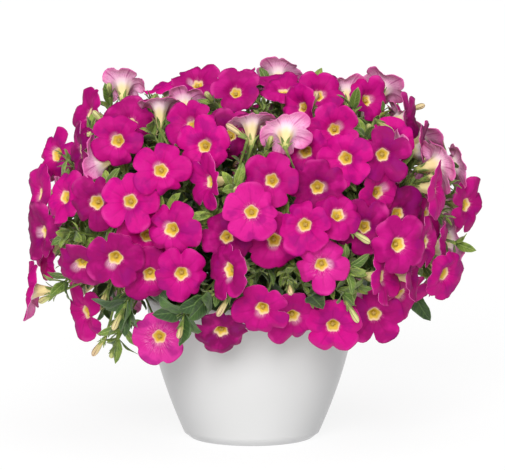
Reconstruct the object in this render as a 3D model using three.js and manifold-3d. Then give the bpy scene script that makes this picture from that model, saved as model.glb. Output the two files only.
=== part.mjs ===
// A bushy petunia in a plain tapered pot, in millimetres, +Z up.
// The origin is the middle of the pot's underside, and the front of the plant looks along -Y.
import * as THREE from 'three';
import { mergeVertices } from 'three/addons/utils/BufferGeometryUtils.js';
import Module from 'manifold-3d';

const wasm = await Module();
wasm.setup();

// ---------------------------------------------------------------- driving dimensions
const POT = { height: 137, footRadius: 56, belly: 62, rimRadius: 100, wall: 2.6, floor: 4, sides: 32 };
const SOIL = { rimDepth: 15, dome: 7, gap: 0.4 };
const CROWN = { centre: 222, reach: 200, up: 126, down: 165 }; // half axes of the flowering crown
const BLOOM = { radius: 27.5, tube: 25, throat: 8, pit: 9, neck: 3.2, notch: 0.85, stalk: 1.1 };
const SHOOT = { count: 28, foot: 2.6, tip: 2.1, holeDepth: 18, soilReach: 76, inset: 68, bend: 28 };
const KNOT = { radius: 3.2 }; // where the flower stalks of a shoot meet
const TWIG = { foot: 0.75, girth: 1.3, shortest: 16 }; // girth: the most room that a twig takes
const LEAF = { length: 25, width: 9.5 };
const BROAD = { length: 34, width: 18 };
const BUD = { length: 25, radius: 2.7 };
const AIR = 0.35; // the gap kept between pieces that stand in or on each other

// How blooms and sprigs are spread where the photograph doesn't show them. lowest: how far down
// the crown they go, from 0 at its top to 2 at its bottom; apart: the least distance between two.
const BACK = { rounds: 150, lowest: 1.62, apart: 37, sink: 12, behind: 5, topLevel: 0.7, topBehind: -75 };
const FILL = { rounds: 80, lowest: 1.7, apart: 46, sink: 6, leaves: 6, broadBelow: 60 };
// Below this height there are no such sprigs, unless they stand behind this y.
const LOW_FRONT = { height: 130, behind: 40 };
// Blooms get smaller above the height from: by the share shrink, which is reached over mm higher.
const TOP = { from: 285, over: 45, shrink: 0.16 };
// The room kept between neighbours while the blooms are spaced, in mm, and how they are moved.
const SPACING = { faces: 4, edge: 1.5, lines: 1, near: 110, rounds: 140, settle: 60, stride: 4, pull: 0.03 };
// The room kept round a twig, leaf or bud: from a face's edge, from its sides, from any stalk or
// stem, and from the pot.
const MARGIN = { edge: 1, face: 2.2, line: 0.8, pot: 2, rim: 12 };

// The front view of the plant, read from a 505 x 470 photograph.
const VIEW = { pixel: 0.95, axisX: 251.7, baseY: 437.1, lookDown: 8 };
// Blooms seen from the front. x, y: middle of the flower in the photograph; turn, lift: the way it
// faces, in degrees from the viewer; set: how far it stands out of the crown's surface, in mm.
const FRONT_BLOOMS = [
  // x, y, turn, lift, set
  [54, 154, -50, 15, 0], [86, 112, -65, 25, 0], [76, 153, -70, 0, -4], [88, 165, -110, -20, -14],
  [124, 88, 180, 35, 0], [132, 120, 5, 45, -10], [120, 142, -15, 10, 4], [168, 106, 180, 70, 0],
  [187, 126, -30, 20, -10], [197, 86, -10, 50, 0], [178, 92, 180, 30, -8], [236, 92, 0, 35, 0],
  [278, 72, 180, 40, 0], [284, 84, 0, 65, -6], [295, 109, -40, 10, -4], [319, 95, 15, 30, 0],
  [348, 93, 180, 30, 0], [384, 86, 150, 35, 0], [378, 109, 40, 20, -4], [406, 125, 75, 10, 0],
  [412, 120, 110, 10, -10], [425, 140, 85, 0, -8], [266, 118, 150, 40, -8], [264, 138, 180, 60, -6],
  [290, 140, 180, 30, -8], [330, 133, -5, 10, 2], [234, 134, 0, 15, -20], [204, 147, -15, 10, 0],
  [164, 172, 0, 10, 4], [275, 175, -10, 10, 0], [302, 158, -10, -5, -16], [344, 165, -15, 0, 0],
  [372, 179, 10, 0, 0], [402, 161, 100, 0, 0], [388, 150, 0, 0, -18], [434, 188, 75, 0, 0],
  [438, 160, 120, 10, -14], [458, 166, 100, 5, 0], [466, 206, 50, 0, 2], [447, 223, 60, 0, -16],
  [386, 200, 40, 0, -12], [406, 213, 20, 0, -18], [386, 241, 30, 0, 0], [391, 272, 65, 0, 0],
  [413, 268, 75, 0, -2], [423, 258, 65, 0, -10], [436, 267, 50, -20, 0], [448, 245, 90, 0, -10],
  [399, 296, 50, -30, -2], [379, 311, 5, -15, 0], [331, 323, 0, -20, 4], [271, 312, -10, -20, 4],
  [285, 318, 10, -25, -12], [222, 332, 0, -35, 0], [161, 335, -5, 0, 4], [180, 274, 0, -10, 2],
  [173, 230, -20, 0, 0], [135, 207, -5, 5, 2], [147, 236, 0, 0, -14], [128, 260, -5, -15, 0],
  [84, 266, -15, -35, 0], [46, 228, -60, 0, 0], [40, 253, -70, -10, -4], [38, 193, -70, 10, 0],
  [45, 209, -100, 0, -10], [65, 197, -50, 15, 0], [30, 290, -95, 0, 0], [84, 313, -55, -15, 0],
  [226, 268, -50, 0, 0], [228, 240, 0, 0, -12], [253, 215, 0, 5, 4], [302, 225, -5, 0, -2],
  [324, 204, 15, 30, -2], [320, 264, 5, -5, 2], [279, 240, 0, -5, -14], [206, 184, -60, 0, -2],
  [95, 205, -20, 0, -16], [305, 183, 0, 0, -18], [150, 277, 0, -20, -16], [375, 213, 0, 0, -20],
];
// Tufts of leaves seen from the front: x, y: their middle; leaves: how many; broad: large oval ones.
const FRONT_TUFTS = [
  // x, y, leaves, broad
  [148, 122, 5, 0], [110, 104, 3, 0], [90, 136, 3, 0], [100, 184, 5, 0], [84, 190, 2, 0],
  [72, 232, 5, 0], [98, 226, 5, 0], [52, 181, 4, 0], [208, 212, 6, 0], [247, 146, 4, 0],
  [290, 187, 5, 0], [280, 258, 6, 0], [350, 232, 6, 0], [340, 292, 5, 0], [358, 290, 4, 0],
  [352, 110, 5, 0], [400, 184, 5, 0], [448, 182, 4, 0], [415, 149, 4, 0], [435, 223, 4, 0],
  [461, 244, 2, 0], [130, 300, 4, 1], [150, 292, 3, 1], [186, 312, 3, 1], [207, 298, 3, 1],
  [236, 308, 3, 1], [311, 298, 3, 1], [124, 324, 4, 0], [118, 338, 3, 0], [68, 296, 3, 0],
  [66, 282, 4, 0], [236, 190, 4, 0], [365, 140, 4, 0], [255, 248, 4, 0], [345, 268, 4, 0],
];
// Flower buds seen from the front: x, y of the foot, then of the tip.
const FRONT_BUDS = [
  [109, 333, 92, 357], [271, 263, 258, 284], [371, 125, 389, 144], [397, 180, 418, 176],
  [411, 233, 427, 242], [348, 229, 361, 239], [350, 149, 340, 136], [300, 173, 322, 169],
  [218, 123, 225, 104], [245, 140, 226, 114], [240, 113, 256, 111], [248, 153, 230, 144],
  [270, 152, 282, 146], [267, 112, 272, 92], [105, 206, 104, 229], [67, 287, 49, 295],
  [27, 194, 21, 198], [232, 290, 224, 301], [165, 100, 168, 86], [150, 88, 160, 93], [353, 90, 353, 78],
];

const MATERIAL = {
  pot: new THREE.MeshStandardMaterial({ color: '#e9e9e8', roughness: 0.4, metalness: 0 }),
  soil: new THREE.MeshStandardMaterial({ color: '#3a2a1e', roughness: 0.95, metalness: 0 }),
  green: new THREE.MeshStandardMaterial({ color: '#56702c', roughness: 0.6, metalness: 0 }),
  bloom: new THREE.MeshStandardMaterial({ color: '#c51886', roughness: 0.55, metalness: 0 }),
};

// ---------------------------------------------------------------- small vector arithmetic
const dot = (a, b) => a[0] * b[0] + a[1] * b[1] + a[2] * b[2];
const plus = (a, b, s = 1) => [a[0] + b[0] * s, a[1] + b[1] * s, a[2] + b[2] * s];
const minus = (a, b) => plus(a, b, -1);
const size = (a) => Math.sqrt(dot(a, a));
const unit = (a) => plus([0, 0, 0], a, 1 / size(a));
const between = (a, b, t) => plus(a, minus(b, a), t);
const cross = (a, b) => [
  a[1] * b[2] - a[2] * b[1],
  a[2] * b[0] - a[0] * b[2],
  a[0] * b[1] - a[1] * b[0],
];
const radians = (degrees) => (degrees * Math.PI) / 180;
const GOLDEN = Math.PI * (3 - Math.sqrt(5));

// A seeded draw between 0 and 1.
function dice(seed) {
  let state = seed;
  return () => {
    state = (state * 1664525 + 1013904223) % 4294967296;
    return state / 4294967296;
  };
}

// Two directions square to n and to each other.
function across(n) {
  const up = Math.abs(n[2]) > 0.9 ? [0, 1, 0] : [0, 0, 1];
  const u = unit(cross(up, n));
  return [u, cross(n, u)];
}

// The point at angle and radius round an axis through p, raised along it.
function around(p, n, angle, radius, raise = 0) {
  const [u, w] = across(n);
  const ring = plus(plus(p, u, Math.cos(angle) * radius), w, Math.sin(angle) * radius);
  return plus(ring, n, raise);
}

// The shortest way from the straight piece p to q, to the straight piece r to s.
function gapBetween(p, q, r, s) {
  const d1 = minus(q, p);
  const d2 = minus(s, r);
  const w = minus(p, r);
  const a = dot(d1, d1);
  const e = dot(d2, d2);
  const b = dot(d1, d2);
  const c = dot(d1, w);
  const f = dot(d2, w);
  const clamp = (v) => Math.min(1, Math.max(0, v));
  const spread = a * e - b * b;
  let t1 = spread > 1e-9 ? clamp((b * f - c * e) / spread) : 0;
  let t2 = (b * t1 + f) / e;
  if (t2 < 0 || t2 > 1) {
    t2 = clamp(t2);
    t1 = clamp((b * t2 - c) / a);
  }
  return minus(plus(r, d2, t2), plus(p, d1, t1));
}

// ---------------------------------------------------------------- where things grow
function facing(turn, lift) {
  const t = radians(turn);
  const l = radians(lift);
  return [Math.sin(t) * Math.cos(l), -Math.cos(t) * Math.cos(l), Math.sin(l)];
}

// The point of the crown's surface that shows at (x, y) of the photograph.
function onCrown(x, y) {
  const right = (x - VIEW.axisX) * VIEW.pixel;
  const high = (VIEW.baseY - y) * VIEW.pixel;
  const s = Math.sin(radians(VIEW.lookDown));
  const c = Math.cos(radians(VIEW.lookDown));
  const above = high / c - CROWN.centre;
  const rise = above > 0 ? CROWN.up : CROWN.down;
  const a = 1 / CROWN.reach ** 2 + (s / c / rise) ** 2;
  const b = (-2 * above * (s / c)) / rise ** 2;
  const rest = b * b - 4 * a * ((right / CROWN.reach) ** 2 + (above / rise) ** 2 - 1);
  const deep = (-b - Math.sqrt(Math.max(0, rest))) / (2 * a);
  return [right, deep, (high - deep * s) / c];
}

// A point of the crown by its height on a unit ball and its angle round the axis.
function crownPoint(level, angle) {
  const ring = Math.sqrt(Math.max(0, 1 - level * level)) * CROWN.reach;
  const rise = level > 0 ? CROWN.up : CROWN.down;
  return [ring * Math.cos(angle), ring * Math.sin(angle), CROWN.centre + rise * level];
}

function outward(p) {
  const rise = p[2] > CROWN.centre ? CROWN.up : CROWN.down;
  return unit([p[0] / CROWN.reach ** 2, p[1] / CROWN.reach ** 2, (p[2] - CROWN.centre) / rise ** 2]);
}

// The soil's surface: its middle stands a little above its edge.
const SHOULDER = { share: 0.6, rise: 0.6 };

function soilTop(radius) {
  const level = POT.height - SOIL.rimDepth;
  const share = radius / (potRadius(level) - POT.wall);
  const inner = 1 - (share * (1 - SHOULDER.rise)) / SHOULDER.share;
  const outer = (SHOULDER.rise * (1 - share)) / (1 - SHOULDER.share);
  return level + SOIL.dome * Math.min(inner, outer);
}

// The shoots: each has a foot in the soil and a head under its own patch of the crown.
function layShoots() {
  const shoots = [];
  const lowest = 1.5;
  const straight = 2; // above the soil, before the shoot bends
  for (let k = 0; k < SHOOT.count; k++) {
    const level = 1 - ((k + 0.6) / SHOOT.count) * lowest;
    const angle = k * GOLDEN;
    const patch = crownPoint(level, angle);
    const out = outward(patch);
    const head = plus(patch, out, -SHOOT.inset);
    const from = SHOOT.soilReach * Math.sqrt((k + 0.5) / SHOOT.count);
    const foot = [from * Math.cos(angle), from * Math.sin(angle), soilTop(from) + straight];
    shoots.push({ out, head, foot });
  }
  return shoots;
}

// A shoot rises out of the soil and bends out to its head.
function shootCurve(shoot) {
  const { foot, head, out } = shoot;
  const lift = Math.min(45, (head[2] - foot[2]) / 2 + 12);
  const points = [foot, plus(foot, [0, 0, 1], lift), plus(head, out, -SHOOT.bend), head];
  return new THREE.CubicBezierCurve3(...points.map((p) => new THREE.Vector3(...p)));
}

// The blooms of the photograph, then others on the top and back wherever there is room.
function layBlooms(shoots) {
  const blooms = FRONT_BLOOMS.map(([x, y, turn, lift, set]) => {
    const n = facing(turn, lift);
    return { n, home: plus(onCrown(x, y), n, set) };
  });
  const roll = dice(44);
  for (let k = 0; k < BACK.rounds; k++) {
    const level = 1 - ((k + 0.5) / BACK.rounds) * BACK.lowest;
    const p = crownPoint(level, k * GOLDEN);
    const out = outward(p);
    const wander = [(roll() - 0.5) * 0.7, (roll() - 0.5) * 0.7, (roll() - 0.5) * 0.5 + 0.1];
    const n = unit(plus([out[0], out[1], Math.max(out[2], -0.35)], wander));
    const home = plus(p, n, -BACK.sink * roll());
    const unseen = p[1] > (level > BACK.topLevel ? BACK.topBehind : BACK.behind);
    if (unseen && blooms.every((b) => size(minus(b.home, home)) > BACK.apart)) blooms.push({ n, home });
  }
  for (const b of blooms) {
    b.at = b.home;
    const high = Math.min(1, Math.max(0, (b.home[2] - TOP.from) / TOP.over));
    b.radius = BLOOM.radius * (0.95 + 0.1 * roll()) * (1 - TOP.shrink * high);
    b.spin = roll() * 2 * Math.PI;
    const end = plus(b.home, b.n, -BLOOM.tube);
    b.shoot = nearestShoot(shoots, end);
    b.head = headOf(shoots[b.shoot]);
  }
  clearBlooms(blooms);
  return blooms;
}

// The shoot whose head is nearest, of those that the stalk reaches without turning back.
function nearestShoot(shoots, foot) {
  const least = 20; // how far ahead of the head the foot of a tube should lie
  const reach = shoots.map((s) => {
    const ahead = dot(minus(foot, s.head), s.out);
    return size(minus(foot, s.head)) + 4 * Math.max(0, least - ahead);
  });
  return reach.indexOf(Math.min(...reach));
}

// The middle of the knot where a shoot's flower stalks meet, just past the shoot's end.
function headOf(shoot) {
  return plus(shoot.head, shoot.out, AIR + KNOT.radius);
}

// How far a bloom's face stands above its throat, at a distance from its axis.
const dish = (rho, radius) => 4 * (rho / radius) ** 2 - 1;
const PETAL = 1; // the thickness of a face half way out

// Points spread over a bloom's face: its middle and three rings.
function faceSamples(b) {
  const rings = [[16, 1, 3], [12, 0.78, 1.4], [6, 0.45, -0.2]]; // points, share of the radius, rise
  const samples = [b.at];
  for (const [count, share, rise] of rings) {
    for (let k = 0; k < count; k++) {
      const angle = ((k + 1.5 * share) * 2 * Math.PI) / count;
      samples.push(around(b.at, b.n, angle, b.radius * share, rise));
    }
  }
  return samples;
}

// The lowest and highest of a's face over b's face, where they lie in line.
function over(a, b) {
  let low = Infinity;
  let high = -Infinity;
  for (const p of a.samples) {
    const d = minus(p, b.at);
    const z = dot(d, b.n);
    const rho = Math.sqrt(Math.max(0, dot(d, d) - z * z));
    if (rho > b.radius + SPACING.edge) continue;
    low = Math.min(low, z - dish(rho, b.radius));
    high = Math.max(high, z - dish(rho, b.radius));
  }
  return [low, high];
}

// The least push that parts two faces, as [distance, direction for a], or nothing.
function facePush(a, b) {
  const clear = SPACING.faces;
  if (size(minus(a.at, b.at)) > a.radius + b.radius + SPACING.edge) return null;
  const [lowA, highA] = over(a, b);
  const [lowB, highB] = over(b, a);
  const ways = [];
  if (lowA <= highA) ways.push([clear - lowA, b.n], [clear + highA, plus([0, 0, 0], b.n, -1)]);
  if (lowB <= highB) ways.push([clear - lowB, plus([0, 0, 0], a.n, -1)], [clear + highB, a.n]);
  if (!ways.length) return null;
  const least = ways.reduce((x, y) => (y[0] < x[0] ? y : x));
  return least[0] > 0 ? least : null;
}

// A bloom's middle line: from its throat to half way down the tube, to its foot, and along the stalk;
// and the girth of each stretch.
const middleLine = (b) => [b.at, plus(b.at, b.n, -BLOOM.tube / 2), plus(b.at, b.n, -BLOOM.tube), b.head];
const GIRTHS = [7.5, 4.5, BLOOM.stalk];

// Where a's tube or stalk runs through b's face: [distance to its edge, direction for a].
function stalkPush(a, b) {
  const line = middleLine(a);
  const faceHeight = 1;
  let worst = null;
  for (let k = 0; k < GIRTHS.length; k++) {
    const z0 = dot(minus(line[k], b.at), b.n) - faceHeight;
    const z1 = dot(minus(line[k + 1], b.at), b.n) - faceHeight;
    if (z0 * z1 > 0) continue;
    const d = minus(between(line[k], line[k + 1], z0 / (z0 - z1)), b.at);
    const flat = plus(d, b.n, -dot(d, b.n));
    const need = b.radius + GIRTHS[k] + SPACING.edge - size(flat);
    if (need < (worst ? worst[0] : 0)) continue;
    worst = [need, size(flat) > 0.5 ? unit(flat) : [1, 0, 0]];
  }
  return worst;
}

// Where the stalks or tubes of two blooms come too close. Those of one shoot meet at its knot.
function crossPush(a, b) {
  const [la, lb] = [middleLine(a), middleLine(b)];
  if (a.shoot === b.shoot) for (const line of [la, lb]) line[3] = between(line[2], line[3], 0.6);
  let worst = null;
  for (let i = 0; i < GIRTHS.length; i++) {
    for (let j = 0; j < GIRTHS.length; j++) {
      const gap = gapBetween(la[i], la[i + 1], lb[j], lb[j + 1]);
      const need = GIRTHS[i] + GIRTHS[j] + SPACING.lines - size(gap);
      if (size(gap) < 0.01 || need < (worst ? worst[0] : 0)) continue;
      worst = [need, unit(minus([0, 0, 0], gap))];
    }
  }
  return worst;
}

const turnedRound = (push) => push && [push[0], minus([0, 0, 0], push[1])];

// Neighbouring blooms are pushed off each other until every face lies clear before or behind.
function clearBlooms(blooms) {
  const near = [];
  blooms.forEach((a, i) => {
    for (const b of blooms.slice(0, i)) {
      if (size(minus(a.home, b.home)) < SPACING.near) near.push([a, b]);
    }
  });
  for (let k = 0; k < SPACING.rounds; k++) {
    for (const b of blooms) b.samples = faceSamples(b);
    for (const [a, b] of near) {
      const pushes = [facePush(a, b), stalkPush(a, b), turnedRound(stalkPush(b, a)), crossPush(a, b)];
      for (const push of pushes) {
        if (!push) continue;
        const step = Math.min(push[0], SPACING.stride) / 2;
        a.at = plus(a.at, push[1], step);
        b.at = plus(b.at, push[1], -step);
        a.samples = faceSamples(a);
        b.samples = faceSamples(b);
      }
    }
    const settling = k >= SPACING.rounds - SPACING.settle;
    if (!settling) for (const b of blooms) b.at = between(b.at, b.home, SPACING.pull);
  }
}

// ---------------------------------------------------------------- room for the leaves
const STATIONS = 5; // straight stretches of a shoot

const shootLine = (shoot) => shootCurve(shoot).getPoints(STATIONS).map((p) => p.toArray());

function alongShoot(shoot, share) {
  const line = shootLine(shoot);
  const k = Math.min(STATIONS - 1, Math.floor(share * STATIONS));
  return between(line[k], line[k + 1], share * STATIONS - k);
}

// Everything that a twig or leaf has to miss: the faces of the blooms, and rods with a girth. A
// stem's rods have it as their owner, and its own twigs grow out of it.
function layRoom(shoots, blooms) {
  const rods = [];
  for (const b of blooms) {
    const line = middleLine(b);
    GIRTHS.forEach((girth, k) => rods.push({ p: line[k], q: line[k + 1], girth }));
  }
  shoots.forEach((shoot, owner) => {
    const line = shootLine(shoot);
    for (let k = 0; k < STATIONS; k++) {
      rods.push({ p: line[k], q: line[k + 1], girth: SHOOT.foot, owner });
    }
    const start = plus(shoot.head, shoot.out, AIR);
    rods.push({ p: start, q: plus(start, shoot.out, 2 * KNOT.radius), girth: KNOT.radius });
  });
  return { rods, blooms };
}

// Whether the rod from p to q stays clear of all that isn't its own shoot's, and of the pot.
function free(room, p, q, girth, owner) {
  const stride = 3;
  const steps = Math.max(2, Math.ceil(size(minus(q, p)) / stride));
  for (let k = 0; k <= steps; k++) {
    const at = between(p, q, k / steps);
    if (touchesPot(at, girth) || room.blooms.some((b) => touchesFace(at, girth, b))) return false;
  }
  return room.rods.every((rod) => {
    if (rod.owner === owner && owner !== undefined) return true;
    return size(gapBetween(p, q, rod.p, rod.q)) > girth + rod.girth + MARGIN.line;
  });
}

function touchesPot(at, girth) {
  const wide = Math.hypot(at[0], at[1]);
  const nearRim = Math.abs(wide - POT.rimRadius) < girth + MARGIN.rim;
  if (at[2] < POT.height + girth + MARGIN.pot && nearRim) return true;
  return at[2] < POT.height + girth && wide < POT.rimRadius + girth + MARGIN.pot;
}

function touchesFace(at, girth, b) {
  const d = minus(at, b.at);
  const z = dot(d, b.n);
  const rho = Math.sqrt(Math.max(0, dot(d, d) - z * z));
  if (rho > b.radius + girth + MARGIN.edge) return false;
  return Math.abs(z - dish(rho, b.radius) + PETAL / 2) < girth + MARGIN.face;
}

// The shoot and the point on it from which a twig reaches a place without touching anything.
function reachFrom(room, shoots, place, girth) {
  const order = shoots.map((s, owner) => ({ owner, far: size(minus(s.head, place)) }));
  order.sort((a, b) => a.far - b.far);
  const tried = order.slice(0, 4);
  for (const { owner } of tried) {
    for (const share of [0.92, 0.86, 0.8, 0.74, 0.66, 0.58, 0.5]) {
      const root = alongShoot(shoots[owner], share);
      if (size(minus(place, root)) < TWIG.shortest) continue;
      const out = between(root, place, SHOOT.foot / size(minus(place, root)));
      if (free(room, out, place, girth, owner)) return { owner, root };
    }
  }
  return null;
}

// The places for leaves on a sprig: three round its end, one on the end, three a little lower.
const WHORL = { thick: 2.2, radius: 1.5, below: 7 };
const END_LEAF = 3;
const PLACES = 7;
// The ways a leaf is tried, as [more or less lean, share of its length].
const LEAF_TRIES = [[0, 1], [-0.35, 1], [0.3, 1], [0, 0.8], [-0.35, 0.8]];
// Which points along a leaf are looked at, how much a bloom faces the viewer, how far the leaf is
// before it, and how much of its radius counts as its middle.
const HIDING = { shares: [0.4, 0.7, 1], slope: 0.4, reach: 60, middle: 0.75 };

// The room that a leaf takes: a rod along its midrib and one across its widest part.
function leafRods({ base, way, up, scale }, kind) {
  const side = unit(cross(way, up));
  const rise = unit(cross(side, way));
  const girth = kind.width * 0.22;
  const half = kind.width * 0.48;
  const middle = plus(plus(base, way, 0.55 * kind.length * scale), rise, 0.08 * kind.width);
  return [
    { p: plus(base, way, girth + 2.5), q: plus(base, way, kind.length * scale), girth },
    { p: plus(middle, side, -half), q: plus(middle, side, half), girth: 0.8 },
  ];
}

// Whether a leaf would hide the middle of a bloom that is seen from the front.
function hidesBloom(room, { base, way, scale }, kind) {
  const toViewer = facing(0, VIEW.lookDown);
  return HIDING.shares.some((share) => {
    const p = plus(base, way, share * kind.length * scale);
    return room.blooms.some((b) => {
      const slope = dot(b.n, toViewer);
      if (slope < HIDING.slope) return false;
      const before = dot(minus(p, b.at), b.n) / slope;
      const seenAt = plus(p, toViewer, -before);
      return before > 0 && before < HIDING.reach && size(minus(seenAt, b.at)) < HIDING.middle * b.radius;
    });
  });
}

// A leaf for a place on a sprig, leaning the first way that is clear, or nothing.
function growLeaf(room, { owner, end, twig, spin, lean, kind }, slot) {
  const atEnd = slot === END_LEAF;
  const lower = slot > END_LEAF;
  const face = atEnd ? 2 : lower ? slot - END_LEAF : slot + 0.5;
  const side = minus(around(end, twig, spin + (face * 2 * Math.PI) / 3, 1), end);
  const base = plus(end, twig, -WHORL.thick / 2 - (lower ? WHORL.below : 0));
  for (const [more, scale] of LEAF_TRIES) {
    const rise = lean[slot] + more;
    const way = unit(plus(plus([0, 0, 0], side, Math.sin(rise)), twig, Math.cos(rise)));
    const leaf = { slot, base, way, scale, up: atEnd ? side : twig };
    if (hidesBloom(room, leaf, kind)) continue;
    if (leafRods(leaf, kind).every(({ p, q, girth }) => free(room, p, q, girth, owner))) return leaf;
  }
  return null;
}

// A sprig: a twig with leaves round its end, set as near the crown's surface as is clear.
function growSprig(room, shoots, place, out, kind, count, roll) {
  const spin = roll() * 2 * Math.PI;
  const lean = Array.from({ length: PLACES }, () => 0.8 + 0.5 * roll());
  lean[END_LEAF] = 0.35;
  for (const depth of [0, 6, 12, 18, 24, 30, 36]) {
    const end = plus(place, out, -depth);
    const from = reachFrom(room, shoots, end, TWIG.girth);
    if (!from) continue;
    const sprig = { ...from, end, twig: unit(minus(end, from.root)), spin, lean, kind, leaves: [] };
    for (let slot = 0; slot < PLACES && sprig.leaves.length < count; slot++) {
      const leaf = growLeaf(room, sprig, slot);
      if (leaf) sprig.leaves.push(leaf);
    }
    if (sprig.leaves.length < count / 2) continue;
    room.rods.push({ p: from.root, q: end, girth: TWIG.girth });
    for (const leaf of sprig.leaves) room.rods.push(...leafRods(leaf, kind));
    return sprig;
  }
  return null;
}

function laySprigs(room, shoots) {
  const roll = dice(11);
  const sprigs = [];
  const places = [];
  for (const [x, y, count, broad] of FRONT_TUFTS) {
    const place = onCrown(x, y);
    places.push(place);
    sprigs.push(growSprig(room, shoots, place, outward(place), broad ? BROAD : LEAF, count + 1, roll));
  }
  for (let k = 0; k < FILL.rounds; k++) {
    const level = 1 - ((k + 0.5) / FILL.rounds) * FILL.lowest;
    const place = crownPoint(level, k * GOLDEN + 1);
    if (places.some((p) => size(minus(p, place)) < FILL.apart)) continue;
    if (place[2] < LOW_FRONT.height && place[1] < LOW_FRONT.behind) continue;
    const kind = place[2] < CROWN.centre - FILL.broadBelow ? BROAD : LEAF;
    const out = outward(place);
    const sprig = growSprig(room, shoots, plus(place, out, -FILL.sink), out, kind, FILL.leaves, roll);
    if (sprig) places.push(place);
    sprigs.push(sprig);
  }
  return sprigs.filter((sprig) => sprig);
}

// Flower buds on their own stalks.
function layBuds(room, shoots) {
  const buds = [];
  for (const [x0, y0, x1, y1] of FRONT_BUDS) {
    for (const set of [4, 0, 8, -5, 12, 16, 20, -10, -15, -20]) {
      const near = onCrown(x0, y0);
      const foot = plus(near, outward(near), set);
      const far = onCrown(x1, y1);
      const way = unit(minus(plus(far, outward(far), set + 5), foot));
      const tip = plus(foot, way, BUD.length);
      const from = reachFrom(room, shoots, foot, TWIG.girth);
      if (!from || !free(room, foot, tip, BUD.radius, from.owner)) continue;
      buds.push({ ...from, foot, way });
      room.rods.push({ p: from.root, q: foot, girth: TWIG.girth });
      room.rods.push({ p: foot, q: tip, girth: BUD.radius });
      break;
    }
  }
  return buds;
}

// ---------------------------------------------------------------- solids
// A closed body from points and faces, its volume counted with the faces pointing out.
function solid(points, faces) {
  const vertProperties = new Float32Array(points.flat());
  const triVerts = new Uint32Array(faces.flat());
  return new wasm.Manifold(new wasm.Mesh({ numProp: 3, vertProperties, triVerts }));
}

// The points and triangles of a geometry whose shared corners are merged.
function merged(geometry) {
  geometry.deleteAttribute('normal');
  geometry.deleteAttribute('uv');
  const whole = mergeVertices(geometry, 1e-4);
  const at = whole.attributes.position;
  const vertices = Array.from({ length: at.count }, (_, k) => [at.getX(k), at.getY(k), at.getZ(k)]);
  const index = Array.from(whole.index.array);
  const triangles = index.flatMap((_, k) => (k % 3 ? [] : [index.slice(k, k + 3)]));
  return { vertices, triangles };
}

const joined = (solids) => solids.reduce((whole, piece) => whole.add(piece));

// A rod along a line of points, mitred where it bends, with a radius at each point.
function rod(line, radii, sides) {
  const points = [];
  const faces = [];
  const ways = line.slice(1).map((p, k) => unit(minus(p, line[k])));
  const turn = (2 * Math.PI) / sides;
  let corners = Array.from({ length: sides }, (_, k) => around(line[0], ways[0], k * turn, radii[0]));
  points.push(...corners);
  for (let k = 1; k < line.length; k++) {
    const plane = k < ways.length ? unit(plus(ways[k - 1], ways[k])) : ways[k - 1];
    corners = corners.map((c) => slid(c, ways[k - 1], line[k], plane));
    corners = corners.map((c) => between(line[k], c, radii[k] / radii[k - 1]));
    points.push(...corners);
    for (let j = 0; j < sides; j++) {
      const a = (k - 1) * sides + j;
      const b = (k - 1) * sides + ((j + 1) % sides);
      faces.push([a, b, b + sides], [a, b + sides, a + sides]);
    }
  }
  const last = points.length - sides;
  for (let k = 1; k + 1 < sides; k++) faces.push([0, k + 1, k], [last, last + k, last + k + 1]);
  return solid(points, faces);
}

// The point where the line from p along way meets the plane through q square to n.
const slid = (p, way, q, n) => plus(p, way, dot(minus(q, p), n) / dot(way, n));

// Joins two rings of points, both in turn round the axis n through c, by triangles that face along n,
// or against it. The inner ring may have fewer points.
function stitch(points, faces, outer, inner, c, n, against = false) {
  const [u, w] = across(n);
  const bearing = (index) => {
    const d = minus(points[index], c);
    return Math.atan2(dot(d, w), dot(d, u));
  };
  const whole = 2 * Math.PI;
  const start = bearing(outer[0]);
  const past = (index) => (((bearing(index) - start) % whole) + whole) % whole;
  const first = inner.reduce((best, index) => (nearZero(past(index)) < nearZero(past(best)) ? index : best));
  const shift = inner.indexOf(first);
  const turned = inner.map((_, k) => inner[(k + shift) % inner.length]);
  const lead = past(first) > Math.PI ? past(first) - whole : past(first);
  const innerTurn = turned.map((index) => ((past(index) - lead) % whole) + lead);
  const add = (a, b, d) => faces.push(against ? [a, d, b] : [a, b, d]);
  let [i, j] = [0, 0];
  while (i < outer.length || j < turned.length) {
    const nextOuter = i + 1 < outer.length ? past(outer[i + 1]) : whole;
    const nextInner = j + 1 < turned.length ? innerTurn[j + 1] : whole + lead;
    const [a, d] = [outer[i % outer.length], turned[j % turned.length]];
    if (j >= turned.length || (i < outer.length && nextOuter <= nextInner)) {
      add(a, outer[(i + 1) % outer.length], d);
      i++;
    } else {
      add(a, turned[(j + 1) % turned.length], d);
      j++;
    }
  }
}

const nearZero = (turn) => Math.min(turn, 2 * Math.PI - turn);

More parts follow.
